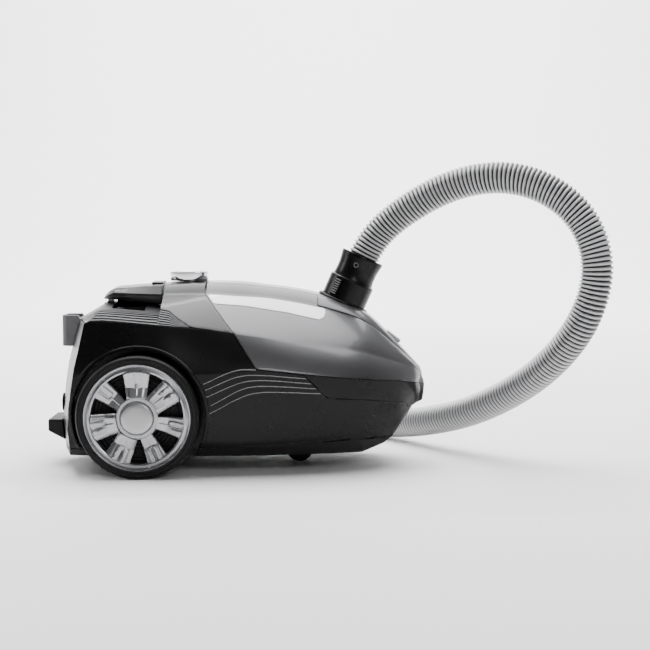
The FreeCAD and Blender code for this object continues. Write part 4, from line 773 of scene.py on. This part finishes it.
def carry_grip():
    """The fixed grip at the back: flat on top, with a broad bevel and a rounded rear end."""
    places = [-160, -157, -152, -145, -130, -109, -98, -88.4]
    top = np.interp(places, [-160, -157, -152, -145, -109, -88], [203.5, 207.5, 211.5, 215, 218, 218.9])
    bottom = np.interp(places, [-160, -157, -149, -106, -88], [200.2, 200.6, 201.2, 197.2, 195.5])
    width = np.interp(places, [-160, -157, -152, -145, -88], [22, 32, 39, 42, 44])
    edge = np.interp(places, [-160, -145, -116, -88], [202.6, 209, 207.5, 206.8])
    outlines = []
    for x, t, b, w, e in zip(places, top, bottom, width, edge):
        half = [(0, t), (w * 0.55, t - 0.4), (w * 0.78, t - 1.6), (w, e), (w + 0.4, (e + b) / 2),
                (w - 1.5, b), (w * 0.5, b)]
        ring = half + [(0, b)] + [(-y, z) for y, z in reversed(half[1:])]
        outlines.append([(x, y, z) for y, z in ring])
    loft("carry_grip", outlines, dark_paint, "chassis", 0.9, replaces=["carry_handle"])
    post = [[(x, y, z) for x, y in ((-157, -11), (-149, -11), (-149, 11), (-157, 11))]
            for z in (195.6, 202.5)]
    loft("grip_post", post, silver_paint, "chassis", 0.6)
    rib = [[(x, y, z) for y, z in ((-5, 189.5), (5, 189.5), (7, 204), (-7, 204))]
           for x in (-146, -96)]
    loft("grip_rib", rib, black_pp, "chassis", 1.0)


def pushed(name, outline, half_width, material, body, bevel=1.0, replaces=()):
    """A side outline pushed across the machine, with rounded edges."""
    ends = [[(x, y, z) for x, z in outline] for y in (-half_width, half_width)]
    return loft(name, ends, material, body, bevel, replaces)


def rear_fittings():
    """The parking socket, a U seen from above, and the foot under it."""
    outer = [(-189.5, 20), (-207, 20), (-211, 17), (-212, 13), (-212, -13), (-211, -17), (-207, -20),
             (-189.5, -20)]
    inner = [(-189.5, -14.5), (-205, -14.5), (-207.6, -13), (-208.6, -10), (-208.6, 10), (-207.6, 13),
             (-205, 14.5), (-189.5, 14.5)]
    outlines = []
    for z, back in ((143, -197.0), (160, -193.2), (176, -189.3), (180.5, -192.0)):
        ring = []
        for x, y in outer + inner:
            ring.append((back if x > -190 else x, y, z))
        outlines.append(ring)
    loft("parking_hook_socket", outlines, socket_grey, "chassis", 0.7, replaces=["parking_socket"])
    pushed("rear_foot_block", [(-227.5, 55.5), (-227.5, 41.5), (-207.0, 30.6), (-209.6, 55.5)], 34,
           black_pp, "chassis", 1.6, replaces=["rear_foot"])


def latch_tab():
    """The tab on the nose that opens the lid, with its leg inside."""
    pushed("latch_tab", [(183.6, 161.6), (198.6, 150.4), (199.0, 148.4), (196.6, 146.6), (181.4, 158.4)],
           14, silver_paint, "latch", 0.9, replaces=["lid_latch"])
    pushed("latch_leg", [(189, 153), (193, 149.6), (196.5, 118), (200.5, 91), (200.5, 84), (197.5, 84),
                         (194.5, 116)], 5, black_pp, "latch", 0.4)


# ---- hose ----
def hose_line():
    """The middle of the hose: points along a smooth spline over the route's points."""
    curve = bpy.data.curves.new("hose_route", "CURVE")
    curve.dimensions = "3D"
    curve.resolution_u = 60
    spline = curve.splines.new("NURBS")
    spline.points.add(len(HOSE_ROUTE) - 1)
    for point, place in zip(spline.points, HOSE_ROUTE):
        point.co = (place[0] * MM, place[1] * MM, place[2] * MM, 1.0)
    spline.order_u = 3
    spline.use_endpoint_u = True
    route = bpy.data.objects.new("hose_route", curve)
    bpy.context.scene.collection.objects.link(route)
    mesh = bpy.data.meshes.new_from_object(route)
    line = np.array([v.co[:] for v in mesh.vertices])
    bpy.data.meshes.remove(mesh)
    bpy.data.objects.remove(route)
    return line


def hose():
    """A tube along the route whose radius follows a spiral rib, one turn per pitch."""
    line = hose_line()
    run = np.concatenate([[0], np.cumsum(np.linalg.norm(np.diff(line, axis=0), axis=1))])
    rings = int(run[-1] / (HOSE_PITCH * MM) * 6)
    along = np.linspace(0, run[-1], rings)
    centre = np.stack([np.interp(along, run, line[:, k]) for k in range(3)], axis=1)
    tangent = np.gradient(centre, axis=0)
    tangent /= np.linalg.norm(tangent, axis=1)[:, None]
    normal = np.zeros_like(tangent)
    normal[0] = np.cross(tangent[0], (0, 1, 0))
    for k in range(1, rings):
        carried = normal[k - 1] - tangent[k] * np.dot(normal[k - 1], tangent[k])
        normal[k] = carried / np.linalg.norm(carried)
    other = np.cross(tangent, normal)
    around = 30
    angle = np.linspace(0, 2 * np.pi, around, endpoint=False)
    phase = along[:, None] / (HOSE_PITCH * MM) - angle[None, :] / (2 * np.pi)
    height = np.clip(0.62 + 0.9 * np.cos(2 * np.pi * phase), 0, 1)
    radius = (HOSE_R - 2.4 * (1 - height)) * MM
    points = (centre[:, None, :] + radius[:, :, None] * (np.cos(angle)[None, :, None] * normal[:, None, :]
              + np.sin(angle)[None, :, None] * other[:, None, :])).reshape(-1, 3)
    thing = piece("hose_tube", points / MM, grid_faces(rings, around, False, True), corrugated_eva,
                  "chassis", merge=False, sharp=80)
    # the rib height also drives the painted shade in the hose's grooves
    values = thing.data.attributes.new("rib_height", "FLOAT", "POINT")
    values.data.foreach_set("value", height.reshape(-1).astype(np.float32))
    return thing, centre, run[-1]


def place_hose():
    """The hose from the cuff to its handle."""
    thing, centre, length = hose()
    thing.parent = None
    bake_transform(thing)
    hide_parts("hose")


# ---- studio ----
def surround():
    """A dark room behind the photographer and a white cove behind the object and above it."""
    world = bpy.data.worlds.new("surround")
    world.use_nodes = True
    tree = world.node_tree
    tree.nodes.clear()
    way = add(tree, "ShaderNodeSeparateXYZ", {0: add(tree, "ShaderNodeTexCoord").outputs["Generated"]})
    behind = add(tree, "ShaderNodeMapRange", {"Value": way.outputs["Y"], "From Min": -0.25,
                                              "From Max": 0.45, "To Min": 0.03, "To Max": 1.0})
    above = add(tree, "ShaderNodeMapRange", {"Value": way.outputs["Z"], "From Min": 0.35,
                                             "From Max": 0.95, "To Min": 0.0, "To Max": 0.2})
    light = add(tree, "ShaderNodeMath", {0: behind.outputs["Result"], 1: above.outputs["Result"]},
                operation="MAXIMUM")
    tone = add(tree, "ShaderNodeBackground", {"Color": (1, 1, 1, 1),
                                              "Strength": light.outputs["Value"]})
    tree.links.new(tone.outputs["Background"],
                   add(tree, "ShaderNodeOutputWorld").inputs["Surface"])
    bpy.context.scene.world = world


def studio():
    """A pale floor that curves up into a cove behind the object, and soft lamps over it."""
    turn = np.linspace(0, np.pi / 2, 24)
    depth = np.concatenate([[-7000, -1000], 3000 + 2000 * np.sin(turn), [5000]])
    height = np.concatenate([[0, 0], 2000 - 2000 * np.cos(turn), [7000]])
    across = np.array([-9000.0, 9000.0])[:, None] + 0 * depth
    points = np.stack([across, depth + 0 * across, height + 0 * across], axis=-1).reshape(-1, 3)
    mesh = bpy.data.meshes.new("studio_floor")
    mesh.from_pydata((points * MM).tolist(), [], grid_faces(2, len(depth)).tolist())
    mesh.materials.append(studio_white)
    mesh.shade_smooth()
    floor = bpy.data.objects.new("studio_floor", mesh)
    bpy.context.scene.collection.objects.link(floor)
    surround()
    lamps = [("top_softbox", (0.1, 0.25, 1.9), (0.1, 0.0, 0.0), (2.6, 1.4), 78),
             ("cove_lamp", (0.1, 2.2, 3.2), (0.1, 4.6, 0.6), (4.0, 0.8), 520),
             ("front_softbox", (0.9, -2.6, 1.3), (0.05, 0.0, 0.12), (1.2, 0.8), 20),
             ("rear_softbox", (-1.8, 0.2, 1.0), (-0.1, 0.0, 0.1), (0.6, 0.9), 12)]
    for name, place, target, size, power in lamps:
        lamp = bpy.data.lights.new(name, "AREA")
        lamp.shape = "RECTANGLE"
        lamp.size, lamp.size_y = size
        lamp.energy = power
        holder = bpy.data.objects.new(name, lamp)
        holder.location = place
        holder.rotation_euler = pointed(np.array(target) - np.array(place))
        bpy.context.scene.collection.objects.link(holder)


def pointed(aim):
    """The turn that points a lamp or a camera along a direction."""
    return Vector(aim.tolist()).to_track_quat("-Z", "Y").to_euler()


def camera():
    """A level side view from the right, tilted down a little, at the height of a low table."""
    lens = bpy.data.cameras.new("camera")
    lens.lens = CAMERA_LENS
    lens.sensor_width = 36.0
    lens.clip_end = 60.0
    holder = bpy.data.objects.new("camera", lens)
    holder.location = CAMERA_PLACE
    holder.rotation_euler = (math.radians(90 - CAMERA_TILT), 0, 0)
    bpy.context.scene.collection.objects.link(holder)
    bpy.context.scene.camera = holder


camera()
place_hose()
black_body()
nose_bumper()
lid()
lid_trims()
rear_cover()
exhaust_grille()
fine_lines()
arch_lips()
for wheel_side, wheel_label in ((-1, "right"), (1, "left")):
    tyre(wheel_side, wheel_label)
    rim(wheel_side, wheel_label)
cuff()
button_ribs()
knob()
carry_grip()
rear_fittings()
latch_tab()
studio()
